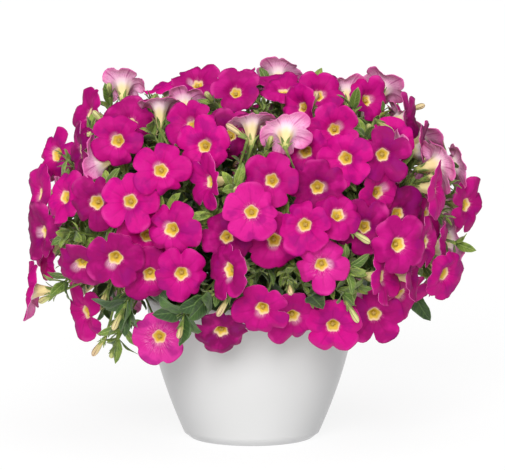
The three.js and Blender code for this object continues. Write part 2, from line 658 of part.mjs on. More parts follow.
// A flower drawn out of a face of its shoot's knot: the stalk, then a widening tube, and five joined
// lobes round a throat with a pit in its middle.
function drawFlower(points, faces, loop, b) {
  const ring = (made) => made.map((p) => points.push(p) - 1);
  const step = (2 * Math.PI) / 5;
  const fives = [0, 1, 2, 3, 4].map((k) => b.spin + k * step);
  const foot = plus(b.at, b.n, -BLOOM.tube);
  const away = unit(minus(foot, b.head));
  const plane = unit(plus(away, b.n));
  const stalk = ring(
    loop.map((index) => {
      const side = minus(points[index], b.head);
      const corner = plus(foot, unit(plus(side, away, -dot(side, away))), BLOOM.stalk);
      return slid(corner, away, foot, plane);
    }),
  );
  loop.forEach((a, k) => {
    const next = (k + 1) % 3;
    faces.push([a, loop[next], stalk[next]], [a, stalk[next], stalk[k]]);
  });
  const neck = ring(fives.map((turn) => around(b.at, b.n, turn, BLOOM.throat + 0.8, -BLOOM.neck)));
  const throat = ring(fives.map((turn) => around(b.at, b.n, turn, BLOOM.throat)));
  const rim = ring(
    fives.flatMap((turn) => [
      around(b.at, b.n, turn - 0.3 * step, b.radius, 3),
      around(b.at, b.n, turn + 0.3 * step, b.radius, 3),
      around(b.at, b.n, turn + 0.5 * step, b.radius * BLOOM.notch, 1.6),
    ]),
  );
  const [pit] = ring([plus(b.at, b.n, -BLOOM.pit)]);
  stitch(points, faces, neck, stalk, b.at, b.n, true);
  stitch(points, faces, rim, neck, b.at, b.n, true);
  stitch(points, faces, rim, throat, b.at, b.n);
  throat.forEach((a, k) => faces.push([a, throat[(k + 1) % 5], pit]));
}

// The flowers of one shoot: a ball-shaped knot at the shoot's end, and a flower out of the face of it
// that looks most its way.
function flowerBunch(shoot, blooms) {
  const ball = new THREE.IcosahedronGeometry(KNOT.radius, 0);
  const corner = new THREE.Vector3().fromBufferAttribute(ball.attributes.position, 0).normalize();
  const inward = new THREE.Vector3(...shoot.out).negate();
  ball.applyQuaternion(new THREE.Quaternion().setFromUnitVectors(corner, inward));
  ball.translate(...headOf(shoot));
  const { vertices, triangles } = merged(ball);
  const points = vertices;
  const faces = [];
  const open = triangles.map((loop) => {
    const middle = loop.reduce((sum, index) => plus(sum, points[index], 1 / 3), [0, 0, 0]);
    return { loop, way: unit(minus(middle, headOf(shoot))) };
  });
  for (const b of blooms) {
    const aim = unit(minus(plus(b.at, b.n, -BLOOM.tube), b.head));
    const best = open.reduce((x, y) => (dot(y.way, aim) > dot(x.way, aim) ? y : x));
    open.splice(open.indexOf(best), 1);
    drawFlower(points, faces, best.loop, b);
  }
  faces.push(...open.map(({ loop }) => loop));
  return solid(points, faces);
}

// A sprig is one mesh: a three-sided twig, with each leaf drawn out of one of its faces.
function sprigSolid({ root, end, spin, leaves, kind }) {
  const twig = unit(minus(end, root));
  const grown = new Map(leaves.map((leaf) => [leaf.slot, leaf]));
  const turn = Math.PI / 3;
  const stations = [[plus(end, twig, -WHORL.thick), WHORL.radius, 0], [end, WHORL.radius, 0]];
  if (leaves.some(({ slot }) => slot > END_LEAF)) {
    const lower = plus(end, twig, -WHORL.below);
    stations.unshift([plus(lower, twig, -WHORL.thick), WHORL.radius, turn], [lower, WHORL.radius, turn]);
  }
  stations.unshift([root, TWIG.foot, stations[0][2]]);
  const points = [];
  const faces = [[0, 2, 1]];
  for (const [p, radius, twist] of stations) {
    for (let k = 0; k < 3; k++) points.push(around(p, twig, spin + twist + (k * 2 * Math.PI) / 3, radius));
  }
  const lowWhorl = stations.length > 3 ? 1 : -1;
  const topWhorl = stations.length - 2;
  for (let r = 0; r + 1 < stations.length; r++) {
    for (let k = 0; k < 3; k++) {
      const [a, b] = [3 * r + k, 3 * r + ((k + 1) % 3)];
      const slot = r === topWhorl ? k : r === lowWhorl ? k + END_LEAF + 1 : -1;
      const loop = [a, b, b + 3, a + 3];
      if (grown.has(slot)) drawLeaf(points, faces, loop, grown.get(slot), kind);
      else faces.push([a, b, b + 3], [a, b + 3, a + 3]);
    }
  }
  const cap = 3 * (stations.length - 1);
  if (grown.has(END_LEAF)) drawLeaf(points, faces, [cap, cap + 1, cap + 2], grown.get(END_LEAF), kind);
  else faces.push([cap, cap + 1, cap + 2]);
  return solid(points, faces);
}

// A leaf drawn out of a face, given as a loop of three or four points that starts with its lower
// edge: a pointed oval, thick at its root, its sides a little raised and its tip drooping.
function drawLeaf(points, faces, loop, { base, way, up, scale }, kind) {
  const [a, b, c, d = c] = loop;
  const spread = minus(points[b], points[a]);
  const side = unit(plus(spread, way, -dot(spread, way)));
  const rise = unit(plus(up, way, -dot(up, way)));
  const place = (along, wide, high) => plus(plus(plus(base, way, along), side, wide), rise, high);
  const length = kind.length * scale;
  const flank = kind === BROAD ? [[0.3, 0.8], [0.65, 0.95]] : [[0.5, 1]];
  const row = (sign) =>
    flank.map(([along, wide]) => place(along * length, (sign * wide * kind.width) / 2, 0.08 * kind.width));
  const outline = [...row(1), place(length, 0, -0.1 * length), ...row(-1).reverse()];
  const first = points.length;
  points.push(...outline);
  const rim = outline.map((_, k) => first + k);
  const below = [a, b, ...rim];
  for (let k = 1; k + 1 < below.length; k++) faces.push([below[0], below[k], below[k + 1]]);
  const above = [...rim].reverse();
  for (let k = 0; k + 1 < above.length; k++) faces.push([c, above[k], above[k + 1]]);
  faces.push([b, c, rim[0]], [d, a, above[0]]);
  if (c !== d) faces.push([c, d, above[0]]);
}

// A bud on its stalk: a slender spindle, widest near its tip.
function budSolid({ root, foot, way }) {
  const along = [0.3 * BUD.length, 0.75 * BUD.length, BUD.length].map((far) => plus(foot, way, far));
  return rod([root, foot, ...along], [TWIG.foot, 1, 0.62 * BUD.radius, BUD.radius, 0.3], 3);
}

// A leafy shoot: its stem from its hole in the soil, its twigs, leaves and buds.
function shootSolid(shoot, sprigs, buds) {
  const down = plus(shoot.foot, [0, 0, 1], -SHOOT.holeDepth);
  const line = [down, ...shootLine(shoot)];
  const radii = line.map((_, k) => SHOOT.foot + ((SHOOT.tip - SHOOT.foot) * k) / (line.length - 1));
  return joined([rod(line, radii, 3), ...sprigs.map(sprigSolid), ...buds.map(budSolid)]);
}

// ---------------------------------------------------------------- pot and soil
function potRadius(z) {
  return POT.belly + (POT.rimRadius - POT.belly) * (1 - (1 - z / POT.height) ** 1.65);
}

function turned(profile, sides) {
  const outline = profile.map(([r, z]) => new THREE.Vector2(r, z));
  const { vertices, triangles } = merged(new THREE.LatheGeometry(outline, sides).rotateX(Math.PI / 2));
  return solid(vertices, triangles);
}

// The inner wall, from the soil's level down to the floor, as [radius, height].
function innerWall() {
  const level = POT.height - SOIL.rimDepth;
  const stations = [level, 0.6 * POT.height, 0.3 * POT.height, 0.1 * POT.height];
  return stations.map((z) => [potRadius(z) - POT.wall, z]);
}

function potSolid() {
  const { height, footRadius, rimRadius, wall, floor } = POT;
  const outside = [0.04, 0.12, 0.35, 0.65].map((share) => [potRadius(height * share), height * share]);
  const rim = [[rimRadius - 0.6, height - 1.6], [rimRadius - 1.3, height], [rimRadius - wall, height - 0.8]];
  const profile = [[0, 0], [footRadius, 0], [footRadius + 4.2, 1.4], ...outside, ...rim, ...innerWall()];
  profile.push([footRadius, floor], [0, floor]);
  return turned(profile, POT.sides);
}

// The soil fills the pot to below its rim, with a hole for each shoot.
function soilSolid(shoots) {
  const wall = innerWall().map(([radius, z]) => [radius - SOIL.gap, z]);
  const bed = POT.floor + SOIL.gap;
  const [edge, level] = wall[0];
  const profile = [[0, bed], [POT.footRadius, bed], ...wall.reverse()];
  profile.push([SHOULDER.share * edge, level + SOIL.dome * SHOULDER.rise], [0, level + SOIL.dome]);
  const radius = SHOOT.foot + AIR;
  const holes = shoots.map(({ foot }) => {
    const bottom = plus(foot, [0, 0, 1], -SHOOT.holeDepth - AIR);
    return rod([bottom, plus(foot, [0, 0, 1], 12)], [radius, radius], 3);
  });
  return turned(profile, POT.sides / 2).subtract(joined(holes));
}

// ---------------------------------------------------------------- the plant
function mesh(name, body, material) {
  const { vertProperties, triVerts } = body.getMesh();
  const geometry = new THREE.BufferGeometry();
  geometry.setAttribute('position', new THREE.BufferAttribute(vertProperties, 3));
  geometry.setIndex(new THREE.BufferAttribute(triVerts, 1));
  const made = new THREE.Mesh(geometry, material);
  made.name = name;
  return made;
}

const shoots = layShoots();
const blooms = layBlooms(shoots);
const room = layRoom(shoots, blooms);
const buds = layBuds(room, shoots);
const sprigs = laySprigs(room, shoots);

const plant = new THREE.Group();
plant.add(mesh('pot', potSolid(), MATERIAL.pot), mesh('soil', soilSolid(shoots), MATERIAL.soil));
shoots.forEach((shoot, k) => {
  const number = String(k + 1).padStart(2, '0');
  const own = (list) => list.filter((item) => item.owner === k);
  plant.add(mesh(`shoot_${number}`, shootSolid(shoot, own(sprigs), own(buds)), MATERIAL.green));
  const flowers = blooms.filter((b) => b.shoot === k);
  plant.add(mesh(`flowers_${number}`, flowerBunch(shoot, flowers), MATERIAL.bloom));
});

export default plant;
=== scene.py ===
# A bushy petunia in a plain white pot. Its petals, leaves, stems, buds, soil and pot are grown from
# the places of the solids that they replace.
# Lengths are in metres, +Z up, and the front of the plant looks along -Y.
from math import atan2, cos, dist, hypot, log, pi, radians, sin, sqrt, tau

import bpy
import numpy as np
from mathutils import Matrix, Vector
from numpy.linalg import norm


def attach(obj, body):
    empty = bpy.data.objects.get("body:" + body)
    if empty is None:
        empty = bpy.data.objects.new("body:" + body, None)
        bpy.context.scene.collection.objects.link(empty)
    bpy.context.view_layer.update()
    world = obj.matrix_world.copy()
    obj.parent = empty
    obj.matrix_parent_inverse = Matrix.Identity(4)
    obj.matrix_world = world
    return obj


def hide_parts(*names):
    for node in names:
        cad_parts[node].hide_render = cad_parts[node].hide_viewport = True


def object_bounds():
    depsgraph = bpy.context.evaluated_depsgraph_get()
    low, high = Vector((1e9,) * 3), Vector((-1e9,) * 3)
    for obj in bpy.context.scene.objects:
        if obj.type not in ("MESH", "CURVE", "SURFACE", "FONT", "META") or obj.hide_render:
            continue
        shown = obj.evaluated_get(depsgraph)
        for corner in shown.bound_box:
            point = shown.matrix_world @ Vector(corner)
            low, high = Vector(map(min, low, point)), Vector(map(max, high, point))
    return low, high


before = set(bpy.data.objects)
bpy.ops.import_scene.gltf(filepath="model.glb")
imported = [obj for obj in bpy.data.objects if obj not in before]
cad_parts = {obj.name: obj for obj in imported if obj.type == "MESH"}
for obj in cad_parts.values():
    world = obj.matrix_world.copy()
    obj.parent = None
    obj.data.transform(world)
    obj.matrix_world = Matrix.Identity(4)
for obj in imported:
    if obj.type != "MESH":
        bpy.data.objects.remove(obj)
CAD_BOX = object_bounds()

GOLDEN = pi * (3 - sqrt(5))
FIFTH = tau / 5

# -------- sizes of the solids
POT_HEIGHT, POT_FOOT, POT_BELLY, POT_RIM = 0.137, 0.056, 0.062, 0.100
POT_WALL, POT_FLOOR = 0.0026, 0.004
POT_CURVE = 1.65  # how fast the wall widens above the belly
SOIL_RIM_DEPTH, SOIL_DOME, SOIL_GAP = 0.015, 0.007, 0.0004
SHOULDER_SHARE, SHOULDER_RISE = 0.6, 0.6  # where the soil's dome bends, and its rise there
CROWN_CENTRE, CROWN_REACH, CROWN_UP, CROWN_DOWN = 0.222, 0.200, 0.126, 0.165
THROAT, PIT, TUBE, KNOT = 0.008, 0.009, 0.025, 0.0032
SHOOTS, SHOOT_FOOT, SHOOT_TIP, SHOOT_INSET, SHOOT_BEND = 28, 0.0026, 0.0021, 0.068, 0.028
SHOOT_STRAIGHT, LIFT_MOST, LIFT_MORE = 0.002, 0.045, 0.012  # how a shoot leaves the soil
SOIL_REACH, HOLE_DEPTH = 0.076, 0.018
LOWEST = 1.5  # how far the shoots go down the crown, as a ball of radius 1
WHORL = 0.0015  # the radius of a twig's end
BUD_LENGTH, BUD_GIRTH, BUD_TIP = 0.025, 0.0027, 0.0003
ROOT_SHARES, STATIONS = (0.92, 0.86, 0.8, 0.74, 0.66, 0.58, 0.5), 5
# A leaf's kinds: length, width, where its widest place lies, and its breadth between its corners.
LEAF = {"length": 0.025, "width": 0.0095, "widest": 0.5, "girth": 0.0095}
BROAD = {"length": 0.034, "width": 0.018, "widest": 0.65, "girth": 0.0171}
LEAF_RISE, LEAF_DROOP = 0.08, 0.1

# -------- the photograph
PIXEL = 0.00095  # metres of the plant that a pixel of the photograph shows
PHOTO_WIDE, PHOTO_HIGH = 505, 470
POT_AXIS_X, POT_BASE_Y = 251.7, 437.1  # pixels
LOOK_DOWN = radians(8)


def seen_at(p):
    """The pixel of the photograph at which a point shows."""
    high = p[2] * cos(LOOK_DOWN) + p[1] * sin(LOOK_DOWN)
    return POT_AXIS_X + p[0] / PIXEL, POT_BASE_Y - high / PIXEL


# -------- vectors
def unit(v):
    return v / norm(v)


def across(n):
    """Two directions square to n and to each other."""
    up = (0.0, 1.0, 0.0) if abs(n[2]) > 0.9 else (0.0, 0.0, 1.0)
    u = unit(np.cross(up, n))
    return u, np.cross(n, u)


def spoke(way, turn):
    """A direction square to way, turned round it."""
    u, w = across(way)
    return cos(turn) * u + sin(turn) * w


def leaning(way, out, lean):
    """The direction way, leant over towards out."""
    return unit(way * cos(lean) + out * sin(lean))


def bezier(points, t):
    """Points of a cubic curve at the shares t of it."""
    a, b, c, d = points
    t = np.asarray(t)[:, None]
    s = 1 - t
    return s**3 * a + 3 * s**2 * t * b + 3 * s * t**2 * c + t**3 * d


# -------- reading the solids
EVEN = 2e-5  # by how much a length may differ from the one looked for
LEAF_SHARES, LEAF_OFF = (0.75, 1.05), 0.004  # a leaf's length, and how far it may lie from its root
TWIG_OFF, TWIG_LEAST = 1e-4, 0.005  # how far a twig's end may lie off its line, and its least length
STALK_END = (0.0005, 0.0016)  # how far the corners of a stalk's end lie from a bud's foot
STALK_LEAST, STALK_TURN, STALK_AHEAD = 0.008, -0.2, 0.004


def corners_of(name):
    """A node's corners, each once, and for each the corners that it shares an edge with."""
    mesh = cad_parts[name].data
    raw = np.zeros(len(mesh.vertices) * 3, np.float32)
    mesh.vertices.foreach_get("co", raw)
    points, index = np.unique(raw.reshape(-1, 3), axis=0, return_inverse=True)
    index = index.reshape(-1)
    linked = [set() for _ in points]
    mesh.calc_loop_triangles()
    for triangle in mesh.loop_triangles:
        loop = {int(index[v]) for v in triangle.vertices}
        for corner in loop:
            linked[corner] |= loop - {corner}
    return points.astype(float), linked


def apart(points, i, j, length):
    """Whether two corners lie that length apart."""
    return abs(norm(points[i] - points[j]) - length) < EVEN


def read_blooms(points, linked):
    """Each bloom's throat, the way it faces, a way to the middle of a lobe, and its radius."""
    reach = hypot(THROAT, PIT)
    blooms = []
    for pit, ring in enumerate(linked):
        if len(ring) != 5 or not all(apart(points, k, pit, reach) for k in ring):
            continue
        throat = sorted(ring)
        at = points[throat].mean(0)
        n = unit(at - points[pit])
        rim = sorted(set().union(*(linked[k] for k in throat)) - ring - {pit})
        flat = points[rim] - at - np.outer((points[rim] - at) @ n, n)
        radius = norm(flat, axis=1).max()
        blooms.append({"at": at, "n": n, "lobe": unit(points[throat[0]] - at), "radius": radius})
    return blooms


def read_knot(points, linked):
    """The middle of the knot where a shoot's flower stalks meet, whose corners have even edges."""
    edge = KNOT / sin(FIFTH)
    corners = []
    for k, ring in enumerate(linked):
        if sum(apart(points, j, k, edge) for j in ring) >= 4:
            corners.append(k)
    return points[corners].mean(0)


def rings_of(points, linked, radius):
    """Threes of corners that lie evenly round a middle, at that radius, as (middle, way)."""
    side = radius * sqrt(3)
    found = []
    for k, ring in enumerate(linked):
        ends = [j for j in ring if j > k and apart(points, j, k, side)]
        for j in ends:
            for i in ends:
                if i > j and i in linked[j] and apart(points, i, j, side):
                    way = unit(np.cross(points[j] - points[k], points[i] - points[k]))
                    found.append((points[[k, j, i]].mean(0), way))
    return found


def read_leaves(points, linked):
    """Each leaf's seat as (root, the way it points, its side, its upper side), length and kind."""
    leaves = []
    for tip, ring in enumerate(linked):
        if len(ring) != 4:
            continue
        for kind in (LEAF, BROAD):
            leaf = leaf_from(points, sorted(ring), tip, kind)
            if leaf:
                leaves.append(leaf)
                break
    return leaves


def leaf_from(points, ring, tip, kind):
    """The leaf of that kind whose tip has this ring of corners, or None."""
    pairs = [(i, j) for i in ring for j in ring if i < j]
    sides = [(i, j) for i, j in pairs if apart(points, i, j, kind["girth"])]
    if len(sides) != 1:
        return None
    i, j = sides[0]
    middle = (points[i] + points[j]) / 2
    root = points[[k for k in ring if k not in (i, j)]].mean(0)
    out = points[tip] - middle
    rest = 1 - kind["widest"]
    rise = LEAF_RISE * kind["width"]
    # The leaf's length follows from how far its tip lies from its widest place.
    a = rest**2 + LEAF_DROOP**2
    b = 2 * LEAF_DROOP * rise
    c = rise**2 - out @ out
    length = (-b + sqrt(b * b - 4 * a * c)) / (2 * a)
    if not LEAF_SHARES[0] < length / kind["length"] < LEAF_SHARES[1]:
        return None
    side = unit(points[i] - points[j])
    turn = atan2(LEAF_DROOP * length + rise, rest * length)
    fits = []
    for sign in (1, -1):
        square = unit(np.cross(side, out)) * sign
        way = leaning(unit(out), square, turn)
        up = unit(square - way * (square @ way))
        base = middle - way * kind["widest"] * length - up * rise
        fits.append((norm(base - root), base, way, up))
    off, base, way, up = min(fits, key=lambda fit: fit[0])
    if off > LEAF_OFF:
        return None
    return {"seat": (base, way, np.cross(way, up), up), "length": length, "kind": kind}


def crown_point(level, angle):
    """A point of the crown by its height on a unit ball and its angle round the axis."""
    ring = sqrt(max(0.0, 1 - level * level)) * CROWN_REACH
    rise = CROWN_UP if level > 0 else CROWN_DOWN
    return np.array([ring * cos(angle), ring * sin(angle), CROWN_CENTRE + rise * level])


def outward(p):
    """The way out of the crown at a point of it."""
    rise = CROWN_UP if p[2] > CROWN_CENTRE else CROWN_DOWN
    return unit(np.array([p[0] / CROWN_REACH**2, p[1] / CROWN_REACH**2, (p[2] - CROWN_CENTRE) / rise**2]))


def pot_radius(z):
    return POT_BELLY + (POT_RIM - POT_BELLY) * (1 - (1 - z / POT_HEIGHT) ** POT_CURVE)


def soil_top(radius):
    """The height of the soil's domed surface at a distance from the axis."""
    level = POT_HEIGHT - SOIL_RIM_DEPTH
    share = radius / (pot_radius(level) - POT_WALL)
    inner = 1 - share * (1 - SHOULDER_RISE) / SHOULDER_SHARE
    outer = SHOULDER_RISE * (1 - share) / (1 - SHOULDER_SHARE)
    return level + SOIL_DOME * min(inner, outer)


def shoot_curve(k):
    """The four points of a shoot's curve out of the soil."""
    level = 1 - (k + 0.6) / SHOOTS * LOWEST
    angle = k * GOLDEN
    patch = crown_point(level, angle)
    out = outward(patch)
    head = patch - out * SHOOT_INSET
    reach = SOIL_REACH * sqrt((k + 0.5) / SHOOTS)
    foot = np.array([reach * cos(angle), reach * sin(angle), soil_top(reach) + SHOOT_STRAIGHT])
    lift = min(LIFT_MOST, (head[2] - foot[2]) / 2 + LIFT_MORE)
    return [foot, foot + (0, 0, lift), head - out * SHOOT_BEND, head]


def roots_on(curve):
    """The places on a shoot where its twigs and bud stalks begin."""
    line = bezier(curve, np.linspace(0, 1, STATIONS + 1))
    places = []
    for share in ROOT_SHARES:
        k = min(STATIONS - 1, int(share * STATIONS))
        places.append(line[k] + (line[k + 1] - line[k]) * (share * STATIONS - k))
    return places


def read_twigs(points, linked, curve):
    """Each twig as (root, end), from the rings of corners round its end."""
    ends = {}
    for middle, way in rings_of(points, linked, WHORL):
        for k, root in enumerate(roots_on(curve)):
            away = middle - root
            if norm(away - way * (away @ way)) > TWIG_OFF or norm(away) < TWIG_LEAST:
                continue
            key = (k, *(round(float(x), 2) for x in unit(away)))
            if key not in ends or norm(away) > norm(ends[key][1] - ends[key][0]):
                ends[key] = (root, middle)
            break
    return list(ends.values())


def read_buds(points, linked, curve):
    """Each bud as (root of its stalk, foot, tip)."""
    buds = []
    roots = roots_on(curve)
    wide = rings_of(points, linked, BUD_GIRTH)
    for tip, _ in rings_of(points, linked, BUD_TIP):
        middle, _ = min(wide, key=lambda ring: norm(ring[0] - tip))
        way = unit(tip - middle)
        foot = tip - way * BUD_LENGTH
        side = stalk_way(points, linked, foot, way)
        root = min(roots, key=lambda r: -(unit(foot - r) @ side))
        buds.append((root, foot, tip))
    return buds


def stalk_way(points, linked, foot, way):
    """The way a bud's stalk runs at its foot, from the long edges that end there."""
    ways = []
    for k, corner in enumerate(points):
        if not STALK_END[0] < norm(corner - foot) < STALK_END[1]:
            continue
        for j in linked[k]:
            edge = corner - points[j]
            along = norm(edge) > STALK_LEAST and unit(edge) @ way > STALK_TURN
            if along and (points[j] - foot) @ way < STALK_AHEAD:
                ways.append(unit(edge))
    return unit(np.mean(ways, axis=0)) if ways else way


# -------- building meshes
def place_new(name, data):
    """A new object with that data, in the scene."""
    made = bpy.data.objects.new(name, data)
    bpy.context.scene.collection.objects.link(made)
    return made


class Build:
    """Gathers the sheets of a piece, then makes its mesh."""

    def __init__(self):
        self.points, self.own, self.faces, self.inks = [], [], [], []
        self.count = 0

    def add(self, points, own, faces, ink):
        """Points with their own coordinates, and faces of the material ink, or of one ink each."""
        self.points.append(np.asarray(points, float).reshape(-1, 3))
        self.own.append(np.asarray(own, float).reshape(-1, 3))
        self.faces += [tuple(int(k) + self.count for k in face) for face in faces]
        self.inks += list(ink) if np.ndim(ink) else [ink] * len(faces)
        self.count += len(self.points[-1])

    def object(self, name, materials):
        mesh = bpy.data.meshes.new(name)
        mesh.from_pydata(np.concatenate(self.points).tolist(), [], self.faces)
        for material in materials:
            mesh.materials.append(material)
        mesh.polygons.foreach_set("material_index", np.array(self.inks, np.int32))
        mesh.polygons.foreach_set("use_smooth", np.ones(len(self.faces), bool))
        own = mesh.attributes.new("own", "FLOAT_VECTOR", "POINT")
        own.data.foreach_set("vector", np.concatenate(self.own).astype(np.float32).ravel())
        mesh.update()
        return place_new(name, mesh)


def closed_tube(rings, sides):
    """The faces between rings of points, each with as many sides, then its two ends, facing out."""
    faces = []
    for r in range(rings - 1):
        for k in range(sides):
            a, b = r * sides + k, r * sides + (k + 1) % sides
            faces.append((a, b, b + sides, a + sides))
    last = (rings - 1) * sides
    return faces + [tuple(range(sides))[::-1], tuple(range(last, last + sides))]


def sweep(build, line, radii, sides, ink, tint, lobes=0.0):
    """A closed rod along a line, with a radius at each of its points. lobes: the depth of five."""
    line = np.asarray(line)
    ways = np.gradient(line, axis=0)
    u, _ = across(unit(ways[0]))
    turn = np.linspace(0, tau, sides, endpoint=False)
    far = np.concatenate([[0], np.cumsum(norm(np.diff(line, axis=0), axis=1))])
    rings, own = [], []
    for p, way, radius, along in zip(line, ways, radii, far):
        way = unit(way)
        u = unit(u - way * (u @ way))
        w = np.cross(way, u)
        size = radius * (1 + lobes * np.cos(5 * turn))[:, None]
        rings.append(p + size * (np.cos(turn)[:, None] * u + np.sin(turn)[:, None] * w))
        own.append(np.stack([turn / tau, np.full(sides, along), np.full(sides, tint)], 1))
    build.add(rings, own, closed_tube(len(rings), sides), ink)


def sheet_faces(rows, cols):
    """The faces of a closed thin sheet: a grid of points, a second grid under it, and their border."""
    n = rows * cols
    faces = []
    for r in range(rows - 1):
        for c in range(cols - 1):
            a = r * cols + c
            faces.append((a, a + 1, a + cols + 1, a + cols))
            faces.append((n + a, n + a + cols, n + a + cols + 1, n + a + 1))
    border = [r * cols for r in range(rows)] + [n - cols + c for c in range(1, cols)]
    border += [r * cols + cols - 1 for r in range(rows - 2, -1, -1)] + list(range(cols - 2, 0, -1))
    for a, b in zip(border, border[1:] + border[:1]):
        faces.append((a, b, n + b, n + a))
    return faces


# -------- blooms
FRONT, BACK, HEART = 0, 1, 2  # the materials of petals
ROUND = 60  # points round a bloom
LIMB = 10  # rings from the throat's edge to the rim
THICK = 0.00045
MOUTH = 0.0066  # radius of the throat where the open face begins
PENT = 0.05  # how five-sided the throat and the tube are
# The throat's inside and the tube's outside, as (radius, height above the throat's edge).
INSIDE = [(0.0008, -0.0092), (0.0024, -0.0090), (0.0038, -0.0080), (0.0050, -0.0064), (0.0060, -0.0047)]
OUTSIDE = [(0.0072, -0.0052), (0.0058, -0.0090), (0.0047, -0.0140), (0.0036, -0.0195), (0.0026, -TUBE)]

# What a face's lobes are drawn from. Most pairs are (lowest, highest).
WARP = (0.0, 0.13)  # how unevenly the lobes stand round the face
FACE_REACH, LOBE_REACH, SEAM_REACH = (0.96, 1.05), (0.95, 1.10), 1.02  # shares of the radius
FACE_NOTCH, SEAM_NOTCH, LOBE_NOTCH, NOTCH_POWER = (0.12, 0.38), (0.6, 1.3), 0.1, 4.5
LOBE_ROUND, LOBE_TIP, LOBE_TIP_WIDE = 0.04, (-0.03, 0.02), 0.25
LOBE_LIFT, LOBE_LIFT_ENDS = (0.0006, 0.0024), (-0.0045, 0.004)  # mean and spread, then limits
SEAM_LIFT = (-0.0050, 0.0008)
HINGE = 0.5  # where a lobe begins to bend back, as a share of the way to its rim
BENT, BENT_MORE, BENT_OFTEN, SEAM_BENT = (0.0, 0.5), (0.4, 1.0), 0.4, 0.35
RIM_RISE, RIM_DRAWN, SADDLE = 0.003, (-0.0016, 0.0026), (-0.0028, 0.0028)
RIPPLE, RIPPLES, FRILL, FRILLS = 0.0006, 9, 0.0004, 16  # heights and numbers of waves at the rim
CREASE, CREASE_WIDE = 0.0009, 0.10
FUNNEL, FUNNEL_WIDE = 0.0042, 0.0022  # how deep and wide the face sinks into the throat


def pent(turn):
    return 1 + PENT * np.cos(5 * turn)


def by_lobe(turn, lobes, seams):
    """Values of the five lobes and of the seams after them, joined smoothly round the face."""
    values = np.stack(np.broadcast_arrays(lobes, seams), 1).ravel()
    place = turn / tau * len(values)
    k = np.floor(place).astype(int)
    share = (1 - np.cos(pi * (place - k))) / 2
    here, after = values[k % len(values)], values[(k + 1) % len(values)]
    return here + (after - here) * share


def open_face(radius, turn, rng):
    """Radius and height of an open face: five joined lobes, waved, creased and bent back unevenly."""
    warp = rng.uniform(*WARP) * np.sin(turn + rng.uniform(0, tau))
    turn = (turn + warp) % tau
    t = ((turn / FIFTH + 0.5) % 1) * 2 - 1  # -1 and 1 at a lobe's notches, 0 at its middle
    s = (np.linspace(0, 1, LIMB) ** 0.9)[:, None]
    reach = by_lobe(turn, rng.uniform(*LOBE_REACH, 5), SEAM_REACH) * rng.uniform(*FACE_REACH)
    notch = by_lobe(turn, LOBE_NOTCH, rng.uniform(*FACE_NOTCH) * rng.uniform(*SEAM_NOTCH, 5))
    tip = rng.uniform(*LOBE_TIP) * np.exp(-((t / LOBE_TIP_WIDE) ** 2))
    edge = radius * reach * (1 - LOBE_ROUND * t**2 - notch * np.abs(t) ** NOTCH_POWER + tip)
    span = edge - MOUTH
    lobes = np.clip(rng.normal(*LOBE_LIFT, 5), *LOBE_LIFT_ENDS)
    seams = rng.uniform(*SEAM_LIFT, 5)
    bent = rng.uniform(*BENT, 5) + (rng.random(5) < BENT_OFTEN) * rng.uniform(*BENT_MORE, 5)
    bend = by_lobe(turn, bent, SEAM_BENT * (bent + np.roll(bent, -1)))
    beyond = np.maximum(0, s - HINGE) * span
    phase = rng.uniform(0, tau, 3)
    ripple = RIPPLE * np.sin(RIPPLES * turn + phase[0]) + FRILL * np.sin(FRILLS * turn + phase[1])
    saddle = rng.uniform(*SADDLE) * np.cos(2 * (turn - phase[2]))
    crease = -CREASE * np.exp(-((t / CREASE_WIDE) ** 2)) * np.minimum(1, 4 * s) * (1 - 0.5 * s)
    height = RIM_RISE * s + rng.uniform(*RIM_DRAWN) * s**2 + saddle * s**1.5
    height = height + by_lobe(turn, lobes, seams) * s**1.6 + ripple * s**3 + crease
    height = height - FUNNEL * np.exp(-s * span / FUNNEL_WIDE) - beyond * np.sin(bend)
    spread = MOUTH * pent(turn) * (1 - s) + (MOUTH + span) * s - beyond * (1 - np.cos(bend))
    return spread, height


def add_bloom(build, bloom, rng):
    """A corolla: the inside of its tube, its open face, and its outside."""
    radius = bloom["radius"]
    turn = np.linspace(0, tau, ROUND, endpoint=False)
    spread, height = open_face(radius, turn, rng)
    rings = [(r * pent(turn), np.full(ROUND, z)) for r, z in INSIDE]
    rings += list(zip(spread, height))
    rings += [(spread[k] - 0.0001, height[k] - THICK) for k in range(LIMB - 1, 0, -1)]
    rings += [(r * pent(turn), np.full(ROUND, z)) for r, z in OUTSIDE]
    n, u = bloom["n"], bloom["lobe"]
    w = np.cross(n, u)
    shade = np.full(ROUND, bloom["tint"])
    points, own = [], []
    for r, z in rings:
        x, y = r * np.cos(turn), r * np.sin(turn)
        points.append(bloom["at"] + x[:, None] * u + y[:, None] * w + z[:, None] * n)
        own.append(np.stack([x / radius, y / radius, shade], 1))
    before = len(INSIDE) + LIMB - 1
    behind = len(rings) - 1 - before
    ink = [FRONT] * (before * ROUND) + [BACK] * (behind * ROUND) + [FRONT, BACK]
    build.add(points, own, closed_tube(len(rings), ROUND), ink)


def add_heart(build, bloom, rng):
    """Four anthers round a taller pistil, deep in a throat."""
    n, u = bloom["n"], bloom["lobe"]
    w = np.cross(n, u)
    base = bloom["at"] - n * 0.0092
    anther, pistil = (0.0028, 0.0016), (0.0036, 0.0)
    for k, (tall, lean) in enumerate([anther] * 4 + [pistil]):
        turn = k * tau / 4 + rng.uniform(0, 1)
        top = base + n * tall + (cos(turn) * u + sin(turn) * w) * lean
        line = [base + (top - base) * x for x in (0, 0.4, 0.55, 0.85, 1)]
        sweep(build, line, [0.0004, 0.0005, 0.0010, 0.0011, 0.0003], 6, HEART, 0.5)


